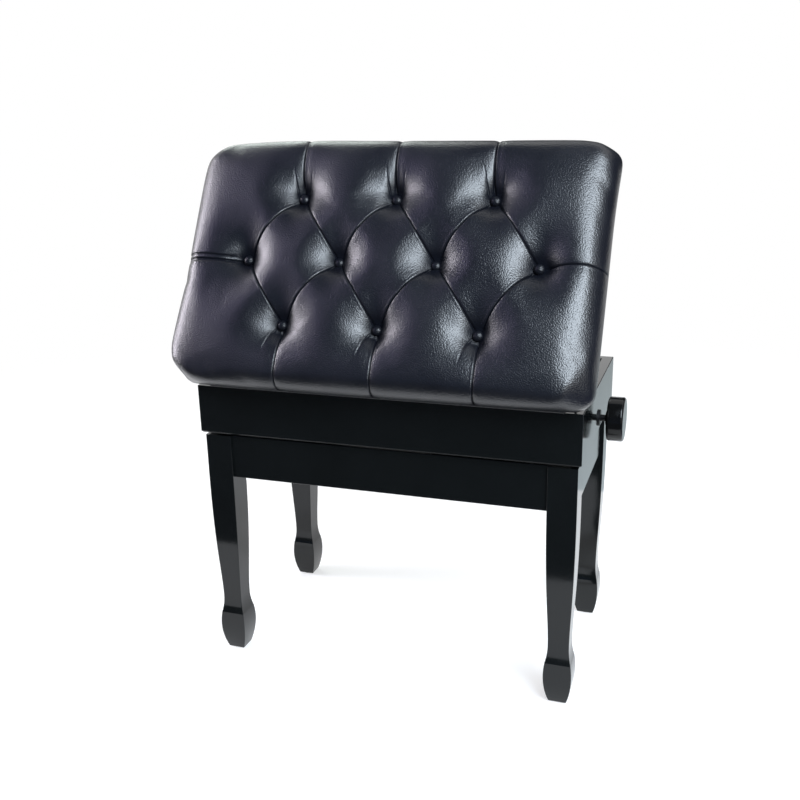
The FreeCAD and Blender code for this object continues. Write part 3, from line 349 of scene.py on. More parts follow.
tree.links.new(tone.outputs["Result"], shader.inputs["Base Color"])
shader.inputs["Roughness"].default_value = 0.7
dress(twine, "button_ties")

# Seat cushion. Black grained leather drawn over thick foam, tied down by ten buttons so that it folds
# into diamond pleats, and wrapped round the board. Lengths here are in millimetres about the middle of
# the closed seat's underside; the lid's own hinge then swings the finished mesh open.
MM = 0.001
SEAT_MIDDLE_Y = 0.0145
LID_UNDERSIDE = 0.413

# Plan and section. Squareness of the corners at the board runs from the free right one to the hinge right
# one, by the left; 1 is round.
HALF_X, HALF_Y = 278.0, 169.0
CORNER = 28.0
CORNER_STEPS = 8
CORNER_SQUARE = (0.5, 0.5, 0.5, 1.0)
WRAP_INSET = 23.4
WRAP_X, WRAP_Y = HALF_X - WRAP_INSET, HALF_Y - WRAP_INSET
EDGE_HEIGHT = 47.0
SHOULDER = 19.0
CROWN, CROWN_POWER = 11.0, 3.0
LEATHER = 1.4
BOARD_TOP = 14.0
GRID = 5.0

# Swell of three sides, lean of the right one by height, its flare at the free end, and the corners' pull.
FREE_SWELL, HINGE_SWELL, LEFT_SWELL = 9.0, 3.0, 14.0
FREE_TILT = 4.0
SWELL_HEIGHT = 34.0
SWELL_REACH = 75.0
SWELL_POWER, FREE_LEFT_POWER = 10, 4
LEAN_HEIGHTS = (0.0, 14.0, 28.0, 34.0, 41.0, 47.0)
RIGHT_LEAN = (0.0, 1.2, 6.0, 10.0, 16.0, 20.0)
LEAN_AT_FREE = 0.3
RIGHT_FLARE, FLARE_FROM = 4.8, 50.0
FREE_LEFT_PULL, FREE_RIGHT_PULL, HINGE_LEFT_PULL, HINGE_RIGHT_PULL = 0.0, 4.0, 6.0, 9.0
CORNER_REACH = 45.0
CORNER_SMOOTH, CORNER_PASSES = 26.0, 14

# Buttons and the wells that they draw down.
BUTTON_PITCH, BUTTON_ROW = 131.0, 88.6
BUTTON_FLAT = 6.5
WELL_DEPTH = 25.0
WELL_RADIUS = 22.0
WELL_POWER = 1.5
WELL_TO_FREE, WELL_TO_HINGE = 1.45, 1.15
# Painted shade round each button: the radius of its dark disc, and how far the disc sits towards the free
# edge.
PIT_SHADE_RADIUS = 16.0
PIT_SHADE_LIFT = 4.0

seat_buttons = [(BUTTON_PITCH * (k - (count - 1) / 2), BUTTON_ROW * row)
                for row, count in ((-1, 3), (0, 4), (1, 3)) for k in range(count)]
core_x, core_y = HALF_X - CORNER, HALF_Y - CORNER
count_x, count_y = round(2 * core_x / GRID), round(2 * core_y / GRID)
runs = [(core_x, -core_y, 2 * core_y, count_y), (core_x, core_y, 2 * core_x, count_x),
        (-core_x, core_y, 2 * core_y, count_y), (-core_x, -core_y, 2 * core_x, count_x)]


def outline(inset, height):
    """Rounded rectangle round the seat, drawn in by an inset, with squarer corners near the board."""
    radius = CORNER - inset
    bend = [math.radians(90 * k / CORNER_STEPS) for k in range(1, CORNER_STEPS)]
    points = []
    for turn, (cx, cy, run, count) in enumerate(runs):
        a = math.radians(90 * turn)
        out = (math.cos(a), math.sin(a))
        way = (-out[1], out[0])
        for k in range(count + 1):
            points.append((cx + radius * out[0] + way[0] * run * k / count,
                           cy + radius * out[1] + way[1] * run * k / count))
        ex, ey = cx + way[0] * run, cy + way[1] * run
        square = CORNER_SQUARE[turn] + (1 - CORNER_SQUARE[turn]) * min(height / SWELL_HEIGHT, 1)
        square = square if inset < WRAP_INSET else 0
        for b in bend:
            c, s = math.cos(b) ** square, math.sin(b) ** square
            points.append((ex + radius * (out[0] * c + way[0] * s),
                           ey + radius * (out[1] * c + way[1] * s)))
    return points


# Section of a side as inset and height: under the board, up the side, and round the shoulder.
side_profile = [(WRAP_INSET, 0.0), (16.0, 0.0), (10.0, 0.0), (5.0, 0.0), (2.7, 0.0), (2.0, 0.5), (1.5, 3.0),
                (0.9, 7.0), (0.3, 12.0), (0.0, 17.0), (0.0, 22.5), (0.0, 28.0)]
side_profile += [(SHOULDER - SHOULDER * math.cos(math.radians(t)),
                  EDGE_HEIGHT - SHOULDER + SHOULDER * math.sin(math.radians(t)))
                 for t in (15, 30, 45, 60, 75, 90)]

padding = bmesh.new()
rings = [[padding.verts.new((x, y, height)) for x, y in outline(inset, height)]
         for inset, height in side_profile]
bridge(padding, rings)
top = [[padding.verts.new((-core_x + 2 * core_x * i / count_x, -core_y + 2 * core_y * j / count_y,
                           EDGE_HEIGHT))
        for j in range(count_y + 1)] for i in range(count_x + 1)]
for i in range(count_x):
    for j in range(count_y):
        padding.faces.new((top[i][j], top[i + 1][j], top[i + 1][j + 1], top[i][j + 1]))
rim = ([top[count_x][j] for j in range(count_y + 1)] + [top[count_x][count_y]] * (CORNER_STEPS - 1)
       + [top[i][count_y] for i in range(count_x, -1, -1)] + [top[0][count_y]] * (CORNER_STEPS - 1)
       + [top[0][j] for j in range(count_y, -1, -1)] + [top[0][0]] * (CORNER_STEPS - 1)
       + [top[i][0] for i in range(count_x + 1)] + [top[count_x][0]] * (CORNER_STEPS - 1))
last = rings[-1]
for k in range(len(last)):
    n = (k + 1) % len(last)
    corners = [last[k], last[n], rim[n], rim[k]]
    padding.faces.new(corners if rim[n] != rim[k] else corners[:3])


def crown(x, y):
    """Rise of the padded top above its edge."""
    return CROWN * (1 - np.abs(x / HALF_X) ** CROWN_POWER) * (1 - np.abs(y / HALF_Y) ** CROWN_POWER)


def well(off_x, off_y):
    """Share of the full depth to which a button draws the leather down, further towards the free edge."""
    distance = np.hypot(off_x, off_y / np.where(off_y > 0, WELL_TO_FREE, WELL_TO_HINGE))
    return np.exp(-(np.maximum(distance, BUTTON_FLAT) / WELL_RADIUS) ** WELL_POWER)


place_now = np.array([v.co for v in padding.verts])
x, y, z = place_now.T
lifted = np.clip((z - (EDGE_HEIGHT - SHOULDER)) / SHOULDER, 0, 1)
drop = np.zeros(len(x))
for bx, by in seat_buttons:
    drop = drop + well(x - bx, y - by)
rise = lifted * (crown(np.clip(x, -HALF_X, HALF_X), np.clip(y, -HALF_Y, HALF_Y)) - WELL_DEPTH * drop)
ramp = np.clip(z / SWELL_HEIGHT, 0, 1)
ramp = ramp * ramp * (3 - 2 * ramp)
near_x = np.clip((np.abs(x) - HALF_X) / SWELL_REACH + 1, 0, 1) ** 2
near_y = np.clip((np.abs(y) - HALF_Y) / SWELL_REACH + 1, 0, 1) ** 2
lean = np.interp(z, LEAN_HEIGHTS, RIGHT_LEAN) * (1 - (1 - LEAN_AT_FREE) * (1 + y / HALF_Y) / 2)
flare = RIGHT_FLARE * np.clip((y - FLARE_FROM) / (HALF_Y - FLARE_FROM), 0, 1) ** 2
left_swell = -LEFT_SWELL * (1 - np.abs(y / HALF_Y) ** SWELL_POWER) * ramp
swell_x = np.where(x > 0, flare - lean, left_swell) * near_x
swell_y = np.where(y > 0, FREE_SWELL - FREE_TILT * x / HALF_X, -HINGE_SWELL)
power = np.where((x < 0) & (y > 0), FREE_LEFT_POWER, SWELL_POWER)
swell_y = swell_y * (1 - np.abs(x / HALF_X) ** power) * near_y * ramp
in_corner = (np.clip((np.abs(x) - HALF_X) / CORNER_REACH + 1, 0, 1)
             * np.clip((np.abs(y) - HALF_Y) / CORNER_REACH + 1, 0, 1))
above = np.clip((z - BOARD_TOP) / (SWELL_HEIGHT - BOARD_TOP), 0, 1)
right_pull = np.where(y > 0, FREE_RIGHT_PULL, HINGE_RIGHT_PULL) * above * above * (3 - 2 * above)
left_pull = np.where(y > 0, FREE_LEFT_PULL, HINGE_LEFT_PULL) * ramp
pull = np.where(x > 0, right_pull, left_pull) * in_corner
swell_x, swell_y = swell_x - np.sign(x) * pull, swell_y - np.sign(y) * pull
for vert, out_x, out_y, up in zip(padding.verts, swell_x, swell_y, rise):
    vert.co += Vector((out_x, out_y, up))
bmesh.ops.remove_doubles(padding, verts=padding.verts, dist=0.05)
padding.normal_update()
mesh = finish_mesh(padding, "seat_cushion")
cushion = show("seat_cushion", mesh)

# The leather is then blown out like cloth from the foam behind it, held at the board and the buttons.
PRESSURE = 4.0
SETTLE_FRAMES = 20
MOST_MOVE = 5.0
HELD_BELOW, HELD_ROUND_BUTTON = 8.0, 3.0
start = np.array([v.co for v in mesh.vertices])
hold = np.where(start[:, 2] < HELD_BELOW, 1.0, 0.0)
for bx, by in seat_buttons:
    from_button = np.hypot(start[:, 0] - bx, start[:, 1] - by)
    hold = np.maximum(hold, from_button < BUTTON_FLAT + HELD_ROUND_BUTTON)
held = cushion.vertex_groups.new(name="held")
for k in np.flatnonzero(hold):
    held.add([int(k)], float(hold[k]), "REPLACE")
mesh.transform(Matrix.Scale(MM, 4))
blown = cushion.modifiers.new("blown", "CLOTH")
blown.settings.use_pressure = True
blown.settings.uniform_pressure_force = PRESSURE
blown.settings.effector_weights.gravity = 0
blown.settings.vertex_group_mass = "held"
blown.point_cache.frame_end = SETTLE_FRAMES
for frame_now in range(1, SETTLE_FRAMES + 1):
    bpy.context.scene.frame_set(frame_now)
settled = cushion.evaluated_get(bpy.context.evaluated_depsgraph_get())
end = np.array([v.co for v in settled.data.vertices]) / MM
move = end - start
length = np.linalg.norm(move, axis=1, keepdims=True)
move *= np.minimum(1, MOST_MOVE / np.maximum(length, 1e-6))
cushion.modifiers.remove(blown)
cushion.vertex_groups.clear()
bpy.context.scene.frame_set(1)
mesh.vertices.foreach_set("co", (start + move).ravel())
mesh.update()

round_off = cushion.modifiers.new("round_off", "SUBSURF")
round_off.levels = round_off.render_levels = 1
smooth_mesh = bpy.data.meshes.new_from_object(cushion.evaluated_get(bpy.context.evaluated_depsgraph_get()))
cushion.modifiers.remove(round_off)
cushion.data = smooth_mesh


def curve_between(start, end, sag):
    """Plan points of a pleat from one place to another, bowed to its left by a sag."""
    a, b = np.array(start), np.array(end)
    way = (b - a) / np.linalg.norm(b - a)
    bow = (a + b) / 2 + 2 * sag * np.array([-way[1], way[0]])
    t = np.linspace(0, 1, CURVE_POINTS)[:, None]
    return (1 - t) ** 2 * a + 2 * t * (1 - t) * bow + t ** 2 * b


# Each pleat: its plan points, where it ends and its strength. It starts at a button, unless it is a tuck.
# The folds beside a button have a start and an end counted from it, a sag and a strength. A second fold to
# the free edge ends there; those to the left edge start together and spread.
CURVE_POINTS = 25
ARCH, COUNTER_ARCH = 5.0, 1.5
PAST_EDGE, EDGE_SAG, SIDE_SAG = 30, 4.0, 3.0
SECOND_FROM, SECOND_TO, SECOND_SAG, SECOND_STRENGTH = (-3, 6), -8, -2.0, 0.6
FREE_FOLDS = [((-5, 0), (-16, 44), 1.5, 0.6), ((4, 0), (11, 38), -1.5, 0.4)]
HINGE_FOLDS = [((-5, 0), (-17, -40), -2.0, 0.6)]
LEFT_FOLDS = [(6, 0.6), (-5, 0.5)]
LEFT_FROM, LEFT_GATHER, LEFT_SAG = -14, 0.6, 1.5
TUCK_FROM, TUCK_TO, TUCK_SPREAD = 22.0, -10.0, 9.0
TUCK_SAG, TUCK_STRENGTH = 3.0, 0.7
pleats = []
for ax, ay in seat_buttons:
    for turn in (-1, 1):
        other = (ax + turn * BUTTON_PITCH / 2, ay - BUTTON_ROW)
        if any(math.hypot(other[0] - bx, other[1] - by) < 1 for bx, by in seat_buttons):
            sag = -ARCH if turn < 0 else COUNTER_ARCH
            pleats.append((curve_between((ax, ay), other, sag), "button", 1.0))
    if abs(ay) > 1:
        edge_y = math.copysign(HALF_Y + PAST_EDGE, ay)
        pleats.append((curve_between((ax, ay), (ax, edge_y), EDGE_SAG), "edge", 1.0))
        if ay > 0:
            beside = (ax + SECOND_FROM[0], ay + SECOND_FROM[1])
            fold = curve_between(beside, (ax + SECOND_TO, edge_y), SECOND_SAG)
            pleats.append((fold, "edge", SECOND_STRENGTH))
        for (from_x, from_y), (to_x, to_y), sag, strength in FREE_FOLDS if ay > 0 else HINGE_FOLDS:
            fold = curve_between((ax + from_x, ay + from_y), (ax + to_x, ay + to_y), sag)
            pleats.append((fold, "open", strength))
    elif abs(ax) > BUTTON_PITCH:
        edge_x = math.copysign(HALF_X + PAST_EDGE, ax)
        pleats.append((curve_between((ax, ay), (edge_x, ay), SIDE_SAG), "edge", 1.0))
        if ax < 0:
            for spread, strength in LEFT_FOLDS:
                gathered = (ax + LEFT_FROM, ay + spread * LEFT_GATHER)
                fold = curve_between(gathered, (edge_x, ay + spread), LEFT_SAG)
                pleats.append((fold, "edge", strength))
for side in (-1, 1):
    inner = (TUCK_FROM - HALF_X, TUCK_FROM - HALF_Y)
    outer = (TUCK_TO - HALF_X - side * TUCK_SPREAD, TUCK_TO - HALF_Y + side * TUCK_SPREAD)
    pleats.append((curve_between(inner, outer, side * TUCK_SAG), "tuck", TUCK_STRENGTH))


def to_pleat(points, x, y):
    """Signed distance from a pleat and the length along it, for plan places."""
    best = np.full(len(x), 1e9)
    side = np.zeros(len(x))
    run = np.zeros(len(x))
    done = 0.0
    for a, b in zip(points[:-1], points[1:]):
        step = b - a
        length = np.linalg.norm(step)
        share = np.clip(((x - a[0]) * step[0] + (y - a[1]) * step[1]) / length ** 2, 0, 1)
        off_x, off_y = x - a[0] - share * step[0], y - a[1] - share * step[1]
        distance = np.hypot(off_x, off_y)
        nearer = distance < best
        best = np.where(nearer, distance, best)
        side = np.where(nearer, np.sign(step[0] * off_y - step[1] * off_x), side)
        run = np.where(nearer, done + share * length, run)
        done += length
    return best * side, run, done


def ease(shape, verts, passes):
    """Smooth some vertices of a shape, a number of times."""
    for k in range(passes):
        bmesh.ops.smooth_vert(shape, verts=verts, factor=0.5,
                              use_axis_x=True, use_axis_y=True, use_axis_z=True)


# Section of a pleat: a crease that is steep on one side, a lip beside it, and a valley that it lies in. The
# mesh is made finer near the pleats first, twice over.
FINER_WITHIN = (5.0, 2.4)
FOLD_DEPTH, FOLD_DEPTH_AT_BUTTON = 1.7, 0.8
FOLD_STEEP, FOLD_EASY = 0.6, 1.3
FOLD_LIP, LIP_OFF, LIP_WIDTH = 0.35, 2.0, 1.4
# Widths of the painted shade line on the steep and the easy side of a crease.
SHADE_LINE_STEEP, SHADE_LINE_EASY = 0.8, 1.1
VALLEY, VALLEY_AT_BUTTON, VALLEY_WIDTH = 0.4, 1.6, 5.0
EDGE_VALLEY, EDGE_VALLEY_WIDTH = 2.6, 8.0
EDGE_REACH, EDGE_KEPT = 40.0, 0.2
PINCH_REACH = 20.0
FADE_FROM, FADE_OVER = 2.0, 8.0
TUCK_FADE_FROM, TUCK_FADE_OVER = 6.0, 16.0
OPEN_FADE = 0.6
LOW_FROM, LOW_OVER = 1.0, 8.0
RIGHT_LOW_FROM, RIGHT_LOW_OVER = 6.0, 14.0
fine = bmesh.new()
fine.from_mesh(cushion.data)
from_corner = {v: math.hypot(abs(v.co.x) - core_x, abs(v.co.y) - core_y) for v in fine.verts}
around_corner = {v: v.co.copy() for v in fine.verts
                 if v.co.z > EDGE_HEIGHT - SHOULDER and from_corner[v] < CORNER_SMOOTH}
ease(fine, list(around_corner), CORNER_PASSES)
for vert, before in around_corner.items():
    share = min(2 - 2 * from_corner[vert] / CORNER_SMOOTH, 1)
    vert.co = before.lerp(vert.co, share)
for reach in FINER_WITHIN:
    fine.verts.ensure_lookup_table()
    fine.faces.ensure_lookup_table()
    centres = np.array([f.calc_center_median() for f in fine.faces])
    near = np.zeros(len(centres), bool)
    for points, ends, strength in pleats:
        distance, run, length = to_pleat(points, centres[:, 0], centres[:, 1])
        near |= np.abs(distance) < reach
    near &= centres[:, 2] > LOW_FROM
    edges = {e for k in np.flatnonzero(near) for e in fine.faces[k].edges}
    old = set(fine.verts)
    bmesh.ops.subdivide_edges(fine, edges=list(edges), cuts=1, use_grid_fill=True)
    fresh = [v for v in fine.verts if v not in old]
    ease(fine, fresh, 2)
fine.normal_update()
place_now = np.array([v.co for v in fine.verts])
normals = np.array([v.normal for v in fine.verts])
x, y, z = place_now.T
shift = np.zeros(len(x))
shade = np.zeros(len(x))
low_fade = np.where(x > HALF_X - SHOULDER, np.clip((z - RIGHT_LOW_FROM) / RIGHT_LOW_OVER, 0, 1),
                    np.clip((z - LOW_FROM) / LOW_OVER, 0, 1))
for points, ends, strength in pleats:
    distance, run, length = to_pleat(points, x, y)
    close = np.abs(distance) < 4 * EDGE_VALLEY_WIDTH
    d, r = distance[close], run[close]
    from_button = np.minimum(r, length - r) if ends == "button" else r
    fade = np.clip((from_button - FADE_FROM) / FADE_OVER, 0, 1)
    pinch = np.exp(-from_button / PINCH_REACH)
    if ends == "open":
        fade = fade * np.clip((length - r) / (OPEN_FADE * length), 0, 1)
    elif ends == "tuck":
        fade = np.clip((r - TUCK_FADE_FROM) / TUCK_FADE_OVER, 0, 1)
        pinch = pinch * 0
    crease = np.exp(-(d / np.where(d < 0, FOLD_STEEP, FOLD_EASY)) ** 2)
    lip = FOLD_LIP * np.exp(-((d + LIP_OFF) / LIP_WIDTH) ** 2)
    valley = (VALLEY + VALLEY_AT_BUTTON * pinch) * np.exp(-(d / VALLEY_WIDTH) ** 2)
    if ends == "edge" and strength == 1:
        kept = EDGE_KEPT + (1 - EDGE_KEPT) * np.exp(-from_button / EDGE_REACH)
        valley = valley + EDGE_VALLEY * kept * np.exp(-(d / EDGE_VALLEY_WIDTH) ** 2)
    shift[close] += strength * fade * (lip - (FOLD_DEPTH + FOLD_DEPTH_AT_BUTTON * pinch) * crease - valley)
    # Painted shade: a dark line along the crease, where the leather's gloss is taken out for the shade that
    # falls into the fold.
    crease_shade = strength * fade * np.exp(-(d / np.where(d < 0, SHADE_LINE_STEEP, SHADE_LINE_EASY)) ** 2)
    shade[close] = np.maximum(shade[close], crease_shade)
# Painted shade in a disc round each button, moved towards the free edge, where shade falls into the pit.
for bx, by in seat_buttons:
    shade = np.maximum(shade, np.exp(-(np.hypot(x - bx, y - by - PIT_SHADE_LIFT) / PIT_SHADE_RADIUS) ** 4))
moved = place_now + normals * (shift * low_fade)[:, None]
# The painted shade is kept on the vertices, and the leather's material takes its gloss out by it.
painted_shade_and_dullness = fine.verts.layers.float.new("painted_shade_and_dullness")
for vert, spot, dark in zip(fine.verts, moved, shade * low_fade):
    vert.co = spot
    vert[painted_shade_and_dullness] = dark
window = bmesh.ops.extrude_edge_only(fine, edges=[e for e in fine.edges if e.is_boundary])["geom"]
for item in window:
    if isinstance(item, bmesh.types.BMVert):
        item.co.z = LEATHER
bmesh.ops.holes_fill(fine, edges=[e for e in fine.edges if e.is_boundary], sides=0)

hinge = next(j for j in frame["joints"] if j["name"] == "lid_hinge")
axis_at = Vector(hinge["pos_m"])
open_angle = -math.radians(hinge["range_deg"][0])
swing = (Matrix.Translation(axis_at) @ Matrix.Rotation(open_angle, 4, "X") @ Matrix.Translation(-axis_at)
         @ Matrix.Translation((0, SEAT_MIDDLE_Y, LID_UNDERSIDE)) @ Matrix.Scale(MM, 4))
bmesh.ops.transform(fine, matrix=swing, verts=fine.verts)
bmesh.ops.recalc_face_normals(fine, faces=fine.faces)
for face in fine.faces:
    face.smooth = True
cushion.data = finish_mesh(fine, "seat_cushion")

# Grained leather: near-black with a breath of blue, a fine pebble grain and a soft satin finish. Real
# grain is about 1 mm; it is drawn at 1.5 mm so that it shows at this distance.
leather, tree, shader, place = new_material("black_grained_leather")
GRAIN = 0.0015
TONE_PATCH = 0.06
cells = add(tree, "ShaderNodeTexVoronoi", {"Vector": place, "Scale": 1 / GRAIN}, feature="SMOOTH_F1")
patch = add(tree, "ShaderNodeTexNoise", {"Vector": place, "Scale": 1 / TONE_PATCH, "Detail": 3.0})
tone = add(tree, "ShaderNodeMix", {"Factor": patch.outputs["Fac"], "A": linear("#0a0c11"),
                                   "B": linear("#101219")}, data_type="RGBA")
gloss = add(tree, "ShaderNodeMapRange", {"Value": patch.outputs["Fac"], "From Min": 0.3, "From Max": 0.7,
                                         "To Min": 0.29, "To Max": 0.36})
# Painted shade from the mesh: along the creases and round the buttons it takes the leather's gloss out, so
# they read dark.
fold = add(tree, "ShaderNodeAttribute", attribute_name="painted_shade_and_dullness")
hidden = add(tree, "ShaderNodeMapRange", {"Value": fold.outputs["Fac"], "To Min": 0.75, "To Max": 0.0})
pebbles = add(tree, "ShaderNodeBump", {"Height": cells.outputs["Distance"], "Strength": 0.6,
                                       "Distance": 0.0006}, invert=True)
tree.links.new(tone.outputs["Result"], shader.inputs["Base Color"])
tree.links.new(gloss.outputs["Result"], shader.inputs["Roughness"])
tree.links.new(pebbles.outputs["Normal"], shader.inputs["Normal"])
tree.links.new(hidden.outputs["Result"], shader.inputs["Specular IOR Level"])
cushion.data.materials.clear()
cushion.data.materials.append(leather)
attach(cushion, "lid")
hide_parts("seat_cover", "seat_foam")

# Seat buttons. Domed metal shells covered with the seat's leather, each tied down through the padding
# with twine, so that it sits at the bottom of its well.
def scatter(name, piece, spots, finish):
    """One mesh of copies of a piece, each set at a place, turned to face a way and given a size."""
    tree = bpy.data.node_groups.new(name, "GeometryNodeTree")
    for label, kind in (("Places", "Geometry"), ("Piece", "Object"), ("Finish", "Material")):
        tree.interface.new_socket(label, in_out="INPUT", socket_type="NodeSocket" + kind)
    tree.interface.new_socket("Copies", in_out="OUTPUT", socket_type="NodeSocketGeometry")
    given = add(tree, "NodeGroupInput").outputs
    shape = add(tree, "GeometryNodeObjectInfo", {"Object": given["Piece"]})
    turn = add(tree, "GeometryNodeInputNamedAttribute", {"Name": "turn"}, data_type="FLOAT_VECTOR")
    size = add(tree, "GeometryNodeInputNamedAttribute", {"Name": "size"}, data_type="FLOAT_VECTOR")
    copies = add(tree, "GeometryNodeInstanceOnPoints", {
        "Points": given["Places"], "Instance": shape.outputs["Geometry"],
        "Rotation": turn.outputs["Attribute"], "Scale": size.outputs["Attribute"]})
    real = add(tree, "GeometryNodeRealizeInstances", {"Geometry": copies.outputs["Instances"]})
    coated = add(tree, "GeometryNodeSetMaterial", {"Geometry": real.outputs["Geometry"],
                                                   "Material": given["Finish"]})
    add(tree, "NodeGroupOutput", {"Copies": coated.outputs["Geometry"]})
    places = bpy.data.meshes.new(name)
    places.from_pydata([spot for spot, way, spin, scale in spots], [], [])
    turns = places.attributes.new("turn", "FLOAT_VECTOR", "POINT")
    sizes = places.attributes.new("size", "FLOAT_VECTOR", "POINT")
    for k, (spot, way, spin, scale) in enumerate(spots):
        facing = Vector(way).to_track_quat("Z", "Y") @ Matrix.Rotation(spin, 3, "Z").to_quaternion()
        turns.data[k].vector = facing.to_euler()
        sizes.data[k].vector = scale
    holder = show(name, places)
    source = show(name + "_piece", piece)
    grown = holder.modifiers.new("copies", "NODES")
    grown.node_group = tree
    named = {item.name: item.identifier for item in tree.interface.items_tree if item.in_out == "INPUT"}
    grown[named["Piece"]] = source
    grown[named["Finish"]] = finish
    made = bpy.data.meshes.new_from_object(holder.evaluated_get(bpy.context.evaluated_depsgraph_get()))
    holder.modifiers.remove(grown)
    holder.data = made
    bpy.data.objects.remove(source)
    return holder


def turn_rings(shape, profile, steps):
    """Rings about Z from a profile of radius and height, listed from the top down, joined by faces."""
    turns = [2 * math.pi * k / steps for k in range(steps)]
    rings = [[shape.verts.new((r * math.cos(a), r * math.sin(a), z)) for a in turns] for r, z in profile]
    bridge(shape, rings[::-1])
    return rings


def turned(name, profile, steps):
    """Closed round mesh about Z from such a profile."""
    shape = bmesh.new()
    turn_rings(shape, profile, steps)
    bmesh.ops.holes_fill(shape, edges=[e for e in shape.edges if e.is_boundary], sides=0)
    bmesh.ops.remove_doubles(shape, verts=shape.verts, dist=1e-6)
    bmesh.ops.recalc_face_normals(shape, faces=shape.faces)
    for face in shape.faces:
        face.smooth = True
    return finish_mesh(shape, name)


BUTTON_RADIUS = 0.007
BUTTON_BOTTOM = 34.2
BUTTON_DULL = 0.5
BUTTON_STEPS = 32
BUTTON_SPIN = 0.7
BUTTON_SHAPE = [(0.06, 0.84), (0.3, 0.81), (0.55, 0.72), (0.78, 0.56),
                (0.93, 0.36), (1.0, 0.17), (0.97, 0.04), (0.88, 0.0)]
button_piece = turned("covered_button", BUTTON_SHAPE, BUTTON_STEPS)
# The buttons carry half of the value that the leather's painted shade uses, so their leather reflects half as
# much as the open leather.
worn = button_piece.attributes.new("painted_shade_and_dullness", "FLOAT", "POINT")
worn.data.foreach_set("value", [BUTTON_DULL] * len(button_piece.vertices))
outward = (swing.to_3x3() @ Vector((0, 0, 1))).normalized()
button_spots = [(swing @ Vector((bx, by, BUTTON_BOTTOM)), outward, BUTTON_SPIN * k, (BUTTON_RADIUS,) * 3)
                for k, (bx, by) in enumerate(seat_buttons)]
buttons = scatter("covered_buttons", button_piece, button_spots, leather)
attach(buttons, "lid")
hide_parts("seat_buttons")

# Staples. Fine zinc-plated wire, bent and shot through the edge of the leather into the board, in a row
# round the lining.
STAPLE_PITCH = 22.0
STAPLE_IN = 6.0
STAPLE_WIDTH, STAPLE_WIRE = 0.0100, 0.0007
STAPLE_LEAN = 0.12
LEAN_BY_STAPLE, LEAN_BY_SIDE = 7.3, 2.1
wire = bmesh.new()
flat_wire = Matrix.Diagonal((STAPLE_WIDTH, 1.5 * STAPLE_WIRE, STAPLE_WIRE, 1))
bmesh.ops.create_cube(wire, size=1.0, matrix=flat_wire)
bmesh.ops.bevel(wire, geom=wire.edges, offset=0.3 * STAPLE_WIRE, segments=2, affect="EDGES")
staple_piece = finish_mesh(wire, "staple")
inward = -outward
staple_spots = []
for half, across, turn in ((WRAP_X, WRAP_Y, 0), (WRAP_Y, WRAP_X, 1)):
    count = int((2 * half - STAPLE_PITCH) // STAPLE_PITCH)
    for side in (-1, 1):
        for k in range(count + 1):
            along, off = STAPLE_PITCH * (k - count / 2), side * (across + STAPLE_IN)
            spot = swing @ Vector((off, along, 0) if turn else (along, off, 0))
            lean = STAPLE_LEAN * math.sin(LEAN_BY_STAPLE * k + LEAN_BY_SIDE * side + turn)
            staple_spots.append((spot, inward, lean + turn * math.pi / 2, (1, 1, 1)))
staples = scatter("lining_staples", staple_piece, staple_spots, zinc)
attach(staples, "lid")

# Lid stays. A flat steel arm at each end slides in a slotted track on the box and turns on a bracket
# under the lid; the slot's end stops the lid when it is open.
dress(powder, "stay_tracks", "stay_brackets", "stay_arm_left", "stay_arm_right")
dress(zinc, "stay_lid_pins", "stay_foot_pins")

# Screws. Zinc-plated steel with round heads and crossed slots, in the places of the screws that hold the
# plates, rails, hinge and stays.
def separate(node):
    """Points of each solid in a node."""
    shape = bmesh.new()
    shape.from_mesh(frame["nodes"][node].data)
    bmesh.ops.remove_doubles(shape, verts=shape.verts, dist=1e-5)
    waiting = set(shape.verts)
    groups = []
    while waiting:
        front = [waiting.pop()]
        group = []
        while front:
            vert = front.pop()
            group.append(frame["nodes"][node].matrix_world @ vert.co)
            beside = {edge.other_vert(vert) for edge in vert.link_edges} & waiting
            waiting -= beside
            front += beside
        groups.append(np.array(group))
    shape.free()
    return groups


# The head is drawn with a radius and a height of 1, and takes the size of the screw that it stands for.
SLOT_LENGTH, SLOT_WIDTH, SLOT_DEPTH, SLOT_TAPER = 0.5, 0.12, 0.6, 0.7
HEAD_PROFILE = [(0.74, 0), (0.92, -0.16), (1, -0.5), (1, -1), (0.48, -1), (0.48, -4)]
HEAD_STEPS = 24
HEAD_RIM = 0.9
SCREW_SPIN = 1.1
head = bmesh.new()
cross = [(SLOT_WIDTH, SLOT_WIDTH), (SLOT_WIDTH, SLOT_LENGTH), (-SLOT_WIDTH, SLOT_LENGTH)]
cross = [Matrix.Rotation(math.pi / 2 * k, 2) @ Vector(p) for k in range(4) for p in cross]
slot_top = [head.verts.new((p.x, p.y, 0)) for p in cross]
slot_floor = [head.verts.new((SLOT_TAPER * p.x, SLOT_TAPER * p.y, -SLOT_DEPTH)) for p in cross]
shank_end = turn_rings(head, HEAD_PROFILE, HEAD_STEPS)[-1]
bridge(head, [slot_top, slot_floor])
head.faces.new(slot_floor)
head.faces.new(shank_end)
bmesh.ops.triangle_fill(head, edges=[e for e in head.edges if e.is_boundary], use_beauty=True)
bmesh.ops.recalc_face_normals(head, faces=head.faces)
screw_piece = finish_mesh(head, "cross_head_screw")
